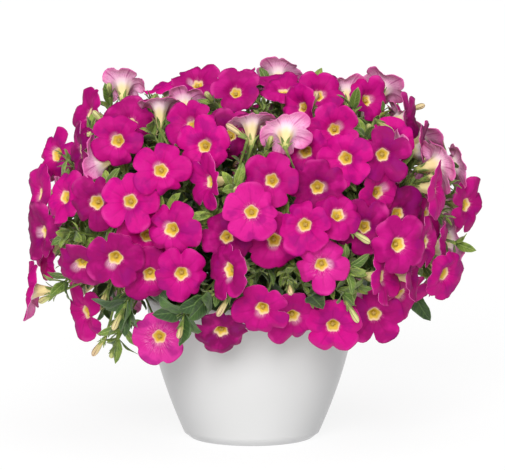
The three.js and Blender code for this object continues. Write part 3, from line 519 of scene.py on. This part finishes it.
# -------- leaves, stems and buds
# The last of these, a darker green, is partly the broad leaves' own colour and partly painted shade for
# the inside of the crown.
STEM, BUD, GREEN, DEEP_AND_SHADED = 0, 1, 2, 3  # the materials of a leafy stem
STEM_SIDES, ROD_SIDES, BUD_SIDES = 9, 6, 15
BLADE_THICK, BLADE_TAPER = 0.0005, 0.7
BLADE_ROOT, BLADE_POINT = 0.0006, 0.0001  # least half widths, near the root and near the tip
# How a blade is drawn: where it is widest, how blunt, and its points across and along.
SEPAL = (0.5, 0.85, 3, 5)
NARROW, OVAL = (0.5, 0.62, 5, 8), (0.42, 0.62, 7, 9)
SPARE, SPARE_SMALL = (0.46, 0.62, 5, 8), (0.46, 0.62, 3, 6)
SMALL = 0.014  # the length below which an added leaf is drawn small
# The sepals of a tube and of a bud: length, width, how far out they start, and lean in degrees.
TUBE_SEPALS = (0.0125, 0.0030, 0.0016, (12, 34))
BUD_SEPALS = (0.010, 0.0026, 0.0012, (8, 22))
STALK_SAG = 0.0006
BUD_SHARES = (0, 0.12, 0.3, 0.5, 0.68, 0.8, 0.9, 0.97, 1)
BUD_RADII = (0.0016, 0.0017, 0.0020, 0.0025, 0.0030, 0.0031, 0.0026, 0.0016, 0.0004)
BUD_LOBES, BUD_CEILING = 0.07, 0.345
# The leaves of a tuft, from the first to the last: place on the twig, lean in degrees and length.
TUFT_LEAVES, TUFT_FROM, TUFT_OVER = 13, 0.35, 0.67
TUFT_LEAN, TUFT_CLOSER, TUFT_LENGTH, TUFT_SHORTER = 74, 44, 0.021, 0.011
INNER_LEAVES, INNER_FROM, INNER_TO, INNER_STEP = 16, 0.1, 0.98, 0.02
INNER_LEAN, INNER_LENGTH, INNER_BREADTH = (48, 80), (0.028, 0.042), (0.5, 0.68)
# The room that what is added keeps: past the solids' box, over the floor, over the pot's rim and
# beside its wall, to the middle of an open face, and round a tube at its foot and at its mouth.
BOX_ROOM, FLOOR_ROOM, RIM_ROOM, WALL_ROOM = 0.004, 0.03, 0.002, 0.006
FACE_MIDDLE, FACE_ROOM, TUBE_ROOM, TUBE_FLARE = 0.001, 0.003, 0.0035, 0.003


def add_blade(build, seat, length, width, form, ink, rng):
    """A pointed leaf, folded a little along its midrib, its margin waved and its tip drooping."""
    base, way, side, up = seat
    widest, blunt, cols, rows = form
    s = np.linspace(0, 1, rows)
    v = np.linspace(-1, 1, cols)
    power = log(0.5) / log(widest)
    half = width / 2 * np.sin(pi * s**power) ** blunt
    half = np.maximum(half, np.where(s < 0.5, BLADE_ROOT, BLADE_POINT))
    wave = rng.uniform(0, tau)
    rise = LEAF_RISE * width * np.sin(pi * s)
    droop = -LEAF_DROOP * length * np.clip(2 * s - 1, 0, 1) ** 1.5
    margin = 0.09 * width * np.sin(9 * s + wave) * np.sin(pi * s)
    bend = rng.uniform(-0.06, 0.06) * length * s * s
    wide = half[:, None] * v + bend[:, None]
    height = (1.6 * rise + margin)[:, None] * np.abs(v) ** 1.3 + droop[:, None]
    top = base + (s * length)[:, None, None] * way + wide[..., None] * side + height[..., None] * up
    under = top - (BLADE_THICK * (1 - BLADE_TAPER * np.abs(v)))[:, None] * up
    tint = rng.uniform(0, 1)
    own = np.stack([np.tile(v, rows), np.repeat(s, cols), np.full(rows * cols, tint)], 1)
    build.add([top, under], [own, own], sheet_faces(rows, cols), ink)


def add_sepals(build, foot, way, sepals, rng):
    """Five narrow leaves in a ring."""
    length, width, start, leans = sepals
    spin = rng.uniform(0, FIFTH)
    for k in range(5):
        out = spoke(way, spin + k * FIFTH)
        lean = radians(rng.uniform(*leans))
        ahead = leaning(way, out, lean)
        up = unit(way * sin(lean) - out * cos(lean))
        seat = (foot + out * start, ahead, np.cross(ahead, up), up)
        add_blade(build, seat, length, width, SEPAL, STEM, rng)


def add_calyx(build, bloom, head, rng):
    """The sepals round the foot of a tube, and the stalk to the knot."""
    n = bloom["n"]
    foot = bloom["at"] - n * TUBE
    add_sepals(build, foot - n * 0.0008, n, TUBE_SEPALS, rng)
    away = unit(head - foot)
    line = [foot + n * 0.0012, foot - n * 0.0006, foot - n * 0.0014 + away * 0.0006]
    for x in (0.2, 0.5, 0.8, 1):
        line.append(foot + (head - foot) * x - (0, 0, STALK_SAG * sin(pi * x)))
    radii = [0.0029, 0.0027, 0.0016, 0.0010, 0.0009, 0.0010, 0.0012]
    sweep(build, line, radii, ROD_SIDES, STEM, rng.uniform(0, 1))


def add_leaf(build, leaf, rng):
    form, ink = (OVAL, DEEP_AND_SHADED) if leaf["kind"] is BROAD else (NARROW, GREEN)
    add_blade(build, leaf["seat"], leaf["length"], leaf["kind"]["width"], form, ink, rng)


class Crowd:
    """Where the blooms and the pot are, to keep what is added out of them."""

    def __init__(self, blooms):
        keys = ("at", "n", "radius")
        self.at, self.n, self.radius = (np.array([bloom[key] for bloom in blooms]) for key in keys)
        self.low = np.array(CAD_BOX[0]) - BOX_ROOM
        self.high = np.array(CAD_BOX[1]) + BOX_ROOM

    def free(self, line):
        """Whether a line of points passes no open face, no tube and no pot wall."""
        line = np.asarray(line)
        if (line < self.low).any() or (line > self.high).any() or line[-1][2] < FLOOR_ROOM:
            return False
        for x, y, z in line:
            beside = abs(hypot(x, y) - pot_radius(min(z, POT_HEIGHT))) < WALL_ROOM
            if z < POT_HEIGHT + RIM_ROOM and beside:
                return False
        away = line[None] - self.at[:, None]
        deep = (away * self.n[:, None]).sum(2)
        wide = np.sqrt(np.maximum(0, (away**2).sum(2) - deep**2))
        over = wide < self.radius[:, None]
        face = (np.abs(deep - FACE_MIDDLE) < FACE_ROOM) & over
        tube = (deep < 0) & (deep > -TUBE) & (wide < TUBE_ROOM + TUBE_FLARE * (1 + deep / TUBE))
        crossed = (deep[:, :-1] * deep[:, 1:] < 0) & (over[:, :-1] | over[:, 1:])
        return not (face.any() or tube.any() or crossed.any())


def add_spare_leaf(build, crowd, base, way, length, width, ink, rng):
    """A leaf that no solid has, if there is room for it."""
    sky = (0, 0, 1) + 0.3 * rng.normal(size=3)
    side = np.cross(way, sky)
    if norm(side) < 0.1:
        return
    side = unit(side)
    up = np.cross(side, way)
    line = [base + way * length * x for x in (0.35, 0.7)]
    line.append(base + way * length - up * LEAF_DROOP * length)
    left, right = (base + way * length * 0.5 + side * width * 0.4 * k for k in (-1, 1))
    if crowd.free(line) and crowd.free([left]) and crowd.free([right]):
        form = SPARE_SMALL if length < SMALL else SPARE
        add_blade(build, (base, way, side, up), length, width, form, ink, rng)


def add_tuft(build, crowd, root, end, rng):
    """Small leaves in a spiral along the outer part of a twig, closer and smaller towards its end."""
    way = unit(end - root)
    reach = norm(end - root)
    spin = rng.uniform(0, tau)
    for k in range(TUFT_LEAVES):
        late = k / (TUFT_LEAVES - 1)
        share = TUFT_FROM + TUFT_OVER * late**0.7
        out = spoke(way, spin + k * GOLDEN)
        lean = radians(TUFT_LEAN - TUFT_CLOSER * late + rng.uniform(-12, 12))
        length = (TUFT_LENGTH - TUFT_SHORTER * late) * rng.uniform(0.85, 1.15)
        width = length * rng.uniform(0.34, 0.46)
        base = root + way * reach * share + out * 0.0006
        add_spare_leaf(build, crowd, base, leaning(way, out, lean), length, width, GREEN, rng)


def add_inner_leaves(build, crowd, curve, rng):
    """Broad leaves up a shoot, which fill the inside of the crown, in a darker green that is partly
    painted shade.
    """
    shares = np.linspace(INNER_FROM, INNER_TO, INNER_LEAVES)
    places = bezier(curve, shares)
    ways = bezier(curve, shares[:-1] + INNER_STEP) - places[:-1]
    for k, (base, way) in enumerate(zip(places, [*ways, curve[3] - curve[2]])):
        way = unit(way)
        out = spoke(way, k * GOLDEN + rng.uniform(-0.3, 0.3))
        lean = radians(rng.uniform(*INNER_LEAN))
        length = rng.uniform(*INNER_LENGTH)
        width = length * rng.uniform(*INNER_BREADTH)
        add_spare_leaf(build, crowd, base + out * 0.002, leaning(way, out, lean), length, width, DEEP_AND_SHADED, rng)


def add_bud(build, root, foot, tip, rng, girth=1.0):
    """A furled bud, twisted and ribbed, in its calyx on a stalk."""
    line = [foot + (tip - foot) * x for x in BUD_SHARES]
    sweep(build, line, [girth * r for r in BUD_RADII], BUD_SIDES, BUD, rng.uniform(0, 1), BUD_LOBES)
    stalk = [root, root + (foot - root) * 0.5, foot]
    sweep(build, stalk, [0.0009, 0.0009, 0.0014], ROD_SIDES, STEM, 0.5)
    add_sepals(build, foot, unit(tip - foot), BUD_SEPALS, rng)


def add_spare_bud(build, crowd, root, end, rng):
    """A bud beyond the end of every other twig or so, if there is room for it."""
    way = unit(unit(end - root) + 0.45 * rng.normal(size=3))
    foot = end + way * rng.uniform(0.006, 0.011)
    share = rng.uniform(0.45, 1.0)
    tip = foot + way * BUD_LENGTH * share
    line = [foot, (foot + tip) / 2, tip + way * 0.001]
    if rng.random() < 0.5 and tip[2] < BUD_CEILING and crowd.free(line):
        add_bud(build, end - way * 0.001, foot, tip, rng, 0.6 + 0.4 * share)


def add_stem(build, curve, head, rng):
    """A stem from below the soil to its knot, slightly swollen at even steps along it."""
    down = curve[0] - (0, 0, HOLE_DEPTH)
    share = np.linspace(0, 1, 26)
    line = np.concatenate([[down], bezier(curve, share)])
    radii = np.concatenate([[SHOOT_FOOT], SHOOT_FOOT + (SHOOT_TIP - SHOOT_FOOT) * share])
    swell = 1 + 0.10 * np.sin(np.linspace(0, 9 * pi, len(radii))) ** 8
    sweep(build, line, radii * 0.94 * swell, STEM_SIDES, STEM, rng.uniform(0, 1))
    way = unit(head - curve[3])
    knob = [head + way * KNOT * x for x in (-1.05, -0.7, -0.2, 0.3, 0.75, 1.0)]
    radii = [0.0019, 0.0026, 0.0030, 0.0028, 0.0018, 0.0005]
    sweep(build, knob, radii, STEM_SIDES, STEM, rng.uniform(0, 1))


def add_twig(build, root, end, rng):
    """A thin twig, bent a little to one side."""
    u, _ = across(unit(end - root))
    sag = 0.012 * norm(end - root)
    share = np.linspace(0, 1, 6)
    line = root + share[:, None] * (end - root) + (sag * np.sin(pi * share))[:, None] * u
    radii = [0.0012, 0.0010, 0.0010, 0.0010, 0.0011, 0.0013]
    sweep(build, line, radii, ROD_SIDES, STEM, rng.uniform(0, 1))


# -------- pot and soil
POT_SIDES, SOIL_SIDES, SOIL_RINGS = 128, 120, 44
HUB = 0.004  # radius of the flat disc in the middle of the pot's floor
# The pot's rounded foot and rim, as (out, up) from their sizes.
FOOT_ROUND = [(-0.002, 0.0), (0.0, 0.0002), (0.0022, 0.0007), (0.0038, 0.0018), (0.0052, 0.0034)]
RIM_ROUND = [(-0.0003, -0.0012), (-0.0008, -0.0003), (-0.0014, 0.0), (-0.0020, -0.0003)]
RIM_ROUND += [(-POT_WALL, -0.0012)]
GRAIN = 0.0014  # the height of the soil's crumbs


def lathe(name, profile, sides, material):
    """A closed turned piece from its profile of (radius, height). Both may differ round it."""
    build = Build()
    turn = np.linspace(0, tau, sides, endpoint=False)
    rings = [np.stack([r * np.cos(turn), r * np.sin(turn), np.full(sides, z)], 1) for r, z in profile]
    build.add(rings, rings, closed_tube(len(rings), sides), 0)
    return build.object(name, [material])


def make_pot(material):
    profile = [(HUB, 0.0)] + [(POT_FOOT + out, z) for out, z in FOOT_ROUND]
    profile += [(pot_radius(z), z) for z in np.linspace(0.0055, POT_HEIGHT - 0.0022, 40)]
    profile += [(POT_RIM + out, POT_HEIGHT + up) for out, up in RIM_ROUND]
    profile += [(pot_radius(z) - POT_WALL, z) for z in np.linspace(POT_HEIGHT - 0.003, 0.014, 20)]
    profile += [(POT_FOOT, POT_FLOOR), (HUB, POT_FLOOR)]
    return lathe("white_pot", profile, POT_SIDES, material)


def make_soil(material):
    """The soil: a domed, crumbly top and a plain side against the pot."""
    rng = np.random.default_rng(31)
    edge = pot_radius(POT_HEIGHT - SOIL_RIM_DEPTH) - POT_WALL - SOIL_GAP
    grains = rng.uniform(-1, 1, (SOIL_RINGS, SOIL_SIDES))
    profile = []
    for k in range(SOIL_RINGS):
        radius = edge * ((k + 1) / SOIL_RINGS)
        rough = GRAIN * grains[k] * (1 if k < SOIL_RINGS - 1 else 0.2)
        profile.append((radius, soil_top(radius) - 0.001 + rough))
    profile += [(pot_radius(z) - POT_WALL - SOIL_GAP, z) for z in (0.08, 0.04, 0.016)]
    profile.append((0.05, 0.0046))
    return lathe("potting_soil", profile[::-1], SOIL_SIDES, material)


# -------- materials
MIX_A, MIX_B, MIX_COLOUR = 6, 7, 2  # the colour sockets of a mix node


def linear(colour):
    """An sRGB colour of 0 to 255 as the linear values that a shader takes."""
    made = []
    for c in colour:
        c /= 255
        made.append(c / 12.92 if c <= 0.04045 else ((c + 0.055) / 1.055) ** 2.4)
    return (*made, 1.0)


class Ink:
    """A material's node tree. Values are numbers, sRGB colours of 0 to 255, or other nodes' outputs."""

    def __init__(self, name, **constants):
        self.material = bpy.data.materials.new(name)
        self.material.use_nodes = True
        self.tree = self.material.node_tree
        self.shader = self.tree.nodes["Principled BSDF"]
        self.colour = None
        self.fill(self.shader, **constants)

    def put(self, socket, value):
        if isinstance(value, bpy.types.NodeSocket):
            self.tree.links.new(value, socket)
        elif isinstance(value, tuple):
            socket.default_value = linear(value)
        else:
            socket.default_value = value

    def fill(self, node, **values):
        """Puts each value into the input of its name."""
        for key, value in values.items():
            self.put(node.inputs[key.replace("_", " ")], value)

    def node(self, kind, **settings):
        made = self.tree.nodes.new("ShaderNode" + kind)
        for key, value in settings.items():
            setattr(made, key, value)
        return made

    def calc(self, operation, *values):
        made = self.node("Math", operation=operation)
        for socket, value in zip(made.inputs, values):
            self.put(socket, value)
        return made.outputs[0]

    def times(self, a, b):
        return self.calc("MULTIPLY", a, b)

    def times_plus(self, a, b, c):
        return self.calc("MULTIPLY_ADD", a, b, c)

    def ramp(self, value, low, high):
        """0 below low and 1 above high, smooth in between."""
        made = self.node("MapRange", interpolation_type="SMOOTHSTEP")
        self.fill(made, Value=value, From_Min=low, From_Max=high)
        return made.outputs["Result"]

    def fade(self, value, low, high):
        """1 below low and 0 above high, smooth in between."""
        return self.calc("SUBTRACT", 1.0, self.ramp(value, low, high))

    def mix(self, share, a, b):
        """The colour a, turned into b by share."""
        made = self.node("Mix", data_type="RGBA")
        self.fill(made, Factor=share)
        self.put(made.inputs[MIX_A], a)
        self.put(made.inputs[MIX_B], b)
        return made.outputs[MIX_COLOUR]

    def lay(self, where, colour, strength=1.0):
        """Turns the material's colour so far into another, by where times strength."""
        self.colour = self.mix(self.times(where, strength), self.colour, colour)

    def own(self):
        """The piece's own coordinates, as three numbers."""
        split = self.node("SeparateXYZ")
        self.put(split.inputs[0], self.node("Attribute", attribute_name="own").outputs["Vector"])
        return split.outputs

    def vector(self, x, y, z=0.0):
        made = self.node("CombineXYZ")
        self.fill(made, X=x, Y=y, Z=z)
        return made.outputs[0]

    def noise(self, scale, detail=3.0, rough=0.5, at=None):
        """Clouds of 0 to 1 over the piece, or over another vector."""
        if at is None:
            at = self.node("TexCoord").outputs["Object"]
        made = self.node("TexNoise")
        self.fill(made, Vector=at, Scale=scale, Detail=detail, Roughness=rough)
        return made.outputs["Fac"]

    def facing(self):
        """From 0 where the surface faces the viewer to 1 where it turns away."""
        made = self.node("LayerWeight")
        self.fill(made, Blend=0.5)
        return made.outputs["Facing"]

    def bump(self, height, strength, distance):
        made = self.node("Bump")
        self.fill(made, Height=height, Strength=strength, Distance=distance)
        self.fill(self.shader, Normal=made.outputs["Normal"])

    def finish(self):
        self.fill(self.shader, Base_Color=self.colour)
        return self.material


def petal_lines(ink, x, y):
    """Distance from a bloom's middle, turn round it, a wave for its five lobes, and fine veins."""
    rho = ink.calc("SQRT", ink.calc("ADD", ink.times(x, x), ink.times(y, y)))
    turn = ink.calc("ARCTAN2", y, x)
    lines = ink.noise(2.4, 4.0, 0.6, ink.vector(ink.times(turn, 9.0), ink.times(rho, 2.2)))
    return rho, turn, ink.calc("COSINE", ink.times(turn, 5.0)), lines


def front_material():
    """Magenta with veins, clouds and a pale rim. The throat is gold inside a cream star."""
    ink = Ink("petal_front", Roughness=0.6, Specular_IOR_Level=0.1)
    x, y, tint = ink.own()
    rho, turn, five, lines = petal_lines(ink, x, y)
    pale = ink.ramp(tint, 1.2, 1.8)
    ink.colour = ink.mix(pale, ink.mix(tint, (122, 4, 80), (200, 10, 129)), (206, 50, 146))
    ink.lay(ink.ramp(lines, 0.5, 0.75), (136, 0, 88), 0.25)
    soft = ink.noise(1.5, at=ink.vector(x, y, ink.times(tint, 9.0)))
    ink.lay(ink.ramp(soft, 0.48, 0.68), (198, 18, 132), 0.6)
    ink.lay(ink.fade(soft, 0.36, 0.48), (136, 6, 108), 0.5)
    # A faint darker line along each lobe's middle and each seam between lobes.
    rib = ink.times(ink.ramp(five, 0.93, 1.0), 0.22)
    seam = ink.times(ink.ramp(five, -0.93, -1.0), 0.16)
    line = ink.times(ink.calc("ADD", rib, seam), ink.fade(rho, 0.5, 0.95))
    ink.lay(line, (118, 0, 78))
    rim = ink.times(ink.ramp(rho, 0.84, 1.0), ink.ramp(soft, 0.46, 0.6))
    ink.lay(rim, (216, 70, 154), 0.4)
    # Pale streaks run out of the throat, and most on a pale bloom.
    reach = ink.times_plus(pale, 0.35, ink.times_plus(soft, 0.4, 0.12))
    streak = ink.times(ink.fade(rho, 0.20, reach), ink.fade(lines, 0.36, 0.5))
    ink.lay(streak, (234, 160, 196), 0.8)
    # On many blooms the pale edge of the throat runs out into a wedge on one side.
    side = ink.ramp(ink.calc("COSINE", ink.times_plus(tint, 40.0, turn)), 0.55, 1.0)
    wedge = ink.times(side, ink.ramp(ink.noise(9.0, 0.0, at=ink.vector(tint, 3.0)), 0.4, 0.6))
    far = ink.times_plus(lines, 0.3, ink.times_plus(wedge, 0.2, 0.12))
    white = ink.times(wedge, ink.fade(rho, 0.23, far))
    combed = ink.times_plus(ink.ramp(lines, 0.56, 0.42), 0.55, 0.35)
    ink.lay(white, (244, 206, 222), combed)
    # The cream star and the gold in it, uneven from bloom to bloom.
    size = ink.times_plus(soft, -0.16, ink.times(lines, 0.05))
    star = ink.calc("ADD", rho, ink.times_plus(five, -0.018, size))
    ink.lay(ink.fade(star, 0.158, 0.19), (236, 210, 168))
    ink.lay(ink.fade(star, 0.105, 0.155), (222, 190, 76))
    ink.lay(ink.fade(rho, 0.07, 0.16), (186, 154, 48))
    ink.bump(lines, 0.35, 0.0006)
    return ink.finish()


def back_material():
    """Pale pink with darker veins, ribs and rim, and cream along the tube."""
    ink = Ink("petal_back", Roughness=0.6, Specular_IOR_Level=0.15)
    x, y, tint = ink.own()
    rho, _, five, lines = petal_lines(ink, x, y)
    ink.colour = ink.mix(tint, (248, 188, 222), (236, 148, 200))
    ink.lay(ink.ramp(lines, 0.48, 0.6), (206, 96, 164), 0.55)
    ink.lay(ink.ramp(five, 0.96, 1.0), (184, 66, 140), 0.7)
    ink.lay(ink.ramp(rho, 0.6, 1.0), (226, 92, 170), 0.8)
    ink.lay(ink.fade(rho, 0.24, 0.52), (250, 232, 230))
    ink.lay(ink.fade(rho, 0.2, 0.34), (240, 222, 160))
    ink.lay(ink.fade(rho, 0.10, 0.16), (190, 190, 110))
    ink.bump(lines, 0.4, 0.0006)
    return ink.finish()


def leaf_material(name, light, dark, rib_tone):
    """A leaf's green, with a paler midrib, side veins and margin, and darker blotches."""
    ink = Ink(name, Roughness=0.5, Specular_IOR_Level=0.35, Sheen_Weight=0.15, Sheen_Roughness=0.5)
    v, s, tint = ink.own()
    wide = ink.calc("ABSOLUTE", v)
    blotch = ink.noise(170.0)
    fuzz = ink.noise(1500.0, 2.0)
    ink.colour = ink.mix(tint, light, dark)
    ink.lay(ink.ramp(blotch, 0.38, 0.66), dark, 0.75)
    waves = ink.calc("SINE", ink.times(ink.times_plus(wide, -0.22, s), 48.0))
    veins = ink.times(ink.ramp(waves, 0.6, 1.0), 0.2)
    ink.lay(veins, rib_tone)
    ink.lay(ink.ramp(wide, 0.72, 1.0), rib_tone, ink.times(fuzz, 0.7))
    rib = ink.fade(wide, 0.02, 0.12)
    ink.lay(rib, rib_tone, 0.5)
    relief = ink.times_plus(fuzz, 0.25, ink.times(blotch, 0.6))
    ink.bump(ink.calc("SUBTRACT", relief, ink.calc("ADD", veins, rib)), 0.5, 0.0008)
    return ink.finish()


def stem_material():
    ink = Ink("stem_green", Roughness=0.55, Specular_IOR_Level=0.4, Sheen_Weight=0.2, Sheen_Roughness=0.4)
    _, _, tint = ink.own()
    patch = ink.ramp(ink.noise(90.0), 0.4, 0.7)
    ink.bump(ink.noise(900.0, 2.0), 0.3, 0.0004)
    ink.colour = ink.mix(patch, ink.mix(tint, (116, 138, 58), (142, 158, 78)), (94, 112, 48))
    return ink.finish()


def bud_material():
    """Cream and yellow green, with dark stripes along the furled folds."""
    ink = Ink("bud_skin", Roughness=0.55, Specular_IOR_Level=0.35)
    turn, along, tint = ink.own()
    twist = ink.times_plus(along, 22.0, ink.times(turn, 5.0))
    stripe = ink.calc("COSINE", ink.times(twist, tau))
    length = ink.ramp(along, 0.0, BUD_LENGTH)
    young = ink.mix(length, (160, 174, 88), (214, 210, 144))
    ripe = ink.mix(length, (190, 190, 108), (222, 192, 152))
    ink.colour = ink.mix(ink.ramp(tint, 0.45, 0.8), young, ripe)
    ink.lay(ink.ramp(stripe, 0.72, 0.97), (96, 50, 60), 0.75)
    ink.bump(stripe, 0.3, 0.0004)
    return ink.finish()


def heart_material():
    ink = Ink("heart_gold", Roughness=0.7)
    grain = ink.noise(2500.0, 2.0)
    ink.colour = ink.mix(grain, (160, 132, 54), (206, 182, 92))
    ink.bump(grain, 0.4, 0.0003)
    return ink.finish()


def pot_material():
    """Satin white, with painted shade that darkens it where the wall turns away from the view."""
    ink = Ink("pot_white", Specular_IOR_Level=0.5, Coat_Weight=0.15, Coat_Roughness=0.2)
    fine = ink.noise(900.0)
    ink.colour = ink.mix(ink.noise(22.0), (206, 206, 205), (210, 210, 210))
    # painted shade: grey laid on where the wall turns from the view, for the light falling off round the
    # pot
    ink.lay(ink.ramp(ink.facing(), 0.05, 0.9), (178, 178, 179))
    ink.bump(fine, 0.08, 0.0003)
    ink.fill(ink.shader, Roughness=ink.times_plus(fine, 0.10, 0.27))
    return ink.finish()


def soil_material():
    ink = Ink("soil_dark", Roughness=0.95)
    lump = ink.noise(120.0, 5.0, 0.65)
    grain = ink.noise(700.0, 3.0, 0.6)
    ink.colour = ink.mix(ink.ramp(lump, 0.35, 0.65), (36, 25, 18), (74, 54, 38))
    ink.lay(ink.ramp(grain, 0.62, 0.70), (120, 96, 70))
    ink.bump(ink.calc("ADD", lump, ink.times(grain, 0.4)), 0.9, 0.003)
    return ink.finish()


# -------- the plant
PETALS = [front_material(), back_material(), heart_material()]
LEAF_GREEN = leaf_material("leaf_green", (150, 172, 66), (72, 102, 38), (186, 204, 118))
# The broad leaves' darker green is partly their own colour and partly painted shade for the inside of the
# crown.
BROAD_GREEN_AND_SHADE = leaf_material("broad_leaf_green_and_shade", (78, 112, 44), (38, 66, 26), (110, 142, 72))
GREENS = [stem_material(), bud_material(), LEAF_GREEN, BROAD_GREEN_AND_SHADE]

# The paler blooms of the photograph: where they show, in pixels, and their tint.
PALE = {(161, 335): 2.0, (320, 264): 1.5, (253, 213): 1.4, (38, 193): 1.5}
PALE_REACH = 14

# The leafy tips between the blooms: how many places are tried down the crown, how far out of its
# surface they end, how far apart, and how long they are. Below LOW, none is before y = LOW_FRONT.
GAP_TRIES, GAP_LOWEST, GAP_OUT, GAP_APART = 900, 1.6, (-0.026, -0.002), 0.024
GAP_LENGTH, GAP_CHECKS = (0.02, 0.10), (0.3, 0.45, 0.6, 0.8, 1.0, 1.06)
LOW, LOW_FRONT = 0.155, 0.04


def dress(piece, slot, *nodes):
    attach(piece, "root")
    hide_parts(*nodes)


def read_plant():
    """All that the solids say of each shoot: its curve, knot, blooms, twigs, leaves and buds."""
    plant = []
    for k in range(SHOOTS):
        number = f"{k + 1:02d}"
        shoot = {"number": number, "curve": shoot_curve(k), "seed": k}
        points, linked = corners_of(f"flowers_{number}")
        shoot["blooms"] = read_blooms(points, linked)
        shoot["head"] = read_knot(points, linked)
        points, linked = corners_of(f"shoot_{number}")
        shoot["twigs"] = read_twigs(points, linked, shoot["curve"])
        shoot["leaves"] = read_leaves(points, linked)
        shoot["buds"] = read_buds(points, linked, shoot["curve"])
        plant.append(shoot)
    return plant


def tint_of(bloom, rng):
    """A tint drawn from 0 to 1, or a higher one where the photograph shows a pale bloom."""
    tint = rng.uniform(0, 1)
    for place, pale in PALE.items():
        if bloom["at"][1] < 0 and dist(seen_at(bloom["at"]), place) < PALE_REACH:
            tint = pale
    return tint


def grow_flowers(shoot):
    number = shoot["number"]
    rng = np.random.default_rng(500 + shoot["seed"])
    petals, stalks = Build(), Build()
    for bloom in shoot["blooms"]:
        bloom["tint"] = tint_of(bloom, rng)
        add_bloom(petals, bloom, rng)
        add_calyx(stalks, bloom, shoot["head"], rng)
        add_heart(petals, bloom, rng)
    dress(petals.object(f"petals_{number}", PETALS), "bloom", f"flowers_{number}")
    dress(stalks.object(f"calyxes_{number}", GREENS[:1]), "green", f"flowers_{number}")


def find_gaps(plant, crowd):
    """Leafy tips in the gaps between the blooms, each from the nearest knot, as (shoot, root, end)."""
    rng = np.random.default_rng(77)
    heads = np.array([shoot["head"] for shoot in plant])
    ends = [end for shoot in plant for _, end in shoot["twigs"]]
    found = []
    for k in range(GAP_TRIES):
        patch = crown_point(1 - (k + 0.5) / GAP_TRIES * GAP_LOWEST, k * GOLDEN)
        end = patch + outward(patch) * rng.uniform(*GAP_OUT)
        low_front = end[2] < LOW and end[1] < LOW_FRONT
        if low_front or min(norm(end - other) for other in ends) < GAP_APART:
            continue
        home = int(np.argmin(norm(heads - end, axis=1)))
        root = heads[home]
        if not GAP_LENGTH[0] < norm(end - root) < GAP_LENGTH[1]:
            continue
        if crowd.free([root + (end - root) * x for x in GAP_CHECKS]):
            ends.append(end)
            found.append((plant[home], root, end))
    return found


def grow_shoot(shoot, crowd):
    number = shoot["number"]
    rng = np.random.default_rng(900 + shoot["seed"])
    build = Build()
    add_stem(build, shoot["curve"], shoot["head"], rng)
    for leaf in shoot["leaves"]:
        add_leaf(build, leaf, rng)
    for root, foot, tip in shoot["buds"]:
        add_bud(build, root, foot, tip, rng)
    for root, end in shoot["twigs"]:
        add_twig(build, root, end, rng)
        add_tuft(build, crowd, root, end, rng)
        add_spare_bud(build, crowd, root, end, rng)
    add_inner_leaves(build, crowd, shoot["curve"], rng)
    dress(build.object(f"leafy_stem_{number}", GREENS), "green", f"shoot_{number}")


plant = read_plant()
crowd = Crowd([bloom for shoot in plant for bloom in shoot["blooms"]])
for shoot, root, end in find_gaps(plant, crowd):
    shoot["twigs"].append((root, end))
for shoot in plant:
    grow_flowers(shoot)
    grow_shoot(shoot, crowd)
dress(make_pot(pot_material()), "pot", "pot")
dress(make_soil(soil_material()), "soil", "soil")

# -------- floor, light and camera
DISTANCE = 6.0  # from the camera to the plant
SENSOR = 36  # millimetres
FLOOR_REACH, FLOOR_GLOW, WORLD_POWER = 30.0, 0.87, 0.14
# Each sun's turn from the front, height and spread in degrees, and its power.
SUNS = {"key": (-7, 24, 26, 0.76), "top": (14, 68, 55, 0.46)}


def make_floor():
    """A grey floor that glows nearly white and fills the view."""
    build = Build()
    points = [(x, y, 0.0) for y in (-FLOOR_REACH, FLOOR_REACH) for x in (-FLOOR_REACH, FLOOR_REACH)]
    build.add(points, points, [(0, 1, 3, 2)], 0)
    ink = Ink("floor_white", Roughness=0.9, Specular_IOR_Level=0.1, Emission_Strength=FLOOR_GLOW)
    ink.fill(ink.shader, Emission_Color=(255, 255, 255))
    ink.colour = (110, 110, 110)
    build.object("floor", [ink.finish()])


def aim(made, way):
    """Turns a light or a camera to look along a direction."""
    made.rotation_mode = "QUATERNION"
    made.rotation_quaternion = Vector(way).to_track_quat("-Z", "Y")


def add_sun(name, turn, height, spread, power):
    """A soft sun, turned from the front by turn degrees and height degrees above the floor."""
    light = bpy.data.lights.new(name, "SUN")
    light.angle = radians(spread)
    light.energy = power * pi
    turn, height = radians(turn), radians(height)
    shines = (-sin(turn) * cos(height), cos(turn) * cos(height), -sin(height))
    aim(place_new(name, light), shines)


def make_camera():
    """A camera that frames the plant as the photograph does."""
    data = bpy.data.cameras.new("camera")
    data.sensor_width = SENSOR
    data.lens = SENSOR * DISTANCE / (PHOTO_WIDE * PIXEL)
    data.clip_end = 100
    camera = place_new("camera", data)
    right = (PHOTO_WIDE / 2 - POT_AXIS_X) * PIXEL
    high = (POT_BASE_Y - PHOTO_HIGH / 2) * PIXEL / cos(LOOK_DOWN)
    back = np.array([0, -cos(LOOK_DOWN), sin(LOOK_DOWN)])
    camera.location = (right, 0, high) + back * DISTANCE
    aim(camera, -back)
    bpy.context.scene.camera = camera


def make_world():
    world = bpy.data.worlds.new("studio")
    world.use_nodes = True
    background = world.node_tree.nodes["Background"]
    background.inputs["Color"].default_value = (1, 1, 1, 1)
    background.inputs["Strength"].default_value = WORLD_POWER
    bpy.context.scene.world = world


make_floor()
make_world()
for name, values in SUNS.items():
    add_sun(name, *values)
make_camera()
bpy.context.scene.view_settings.view_transform = "Standard"
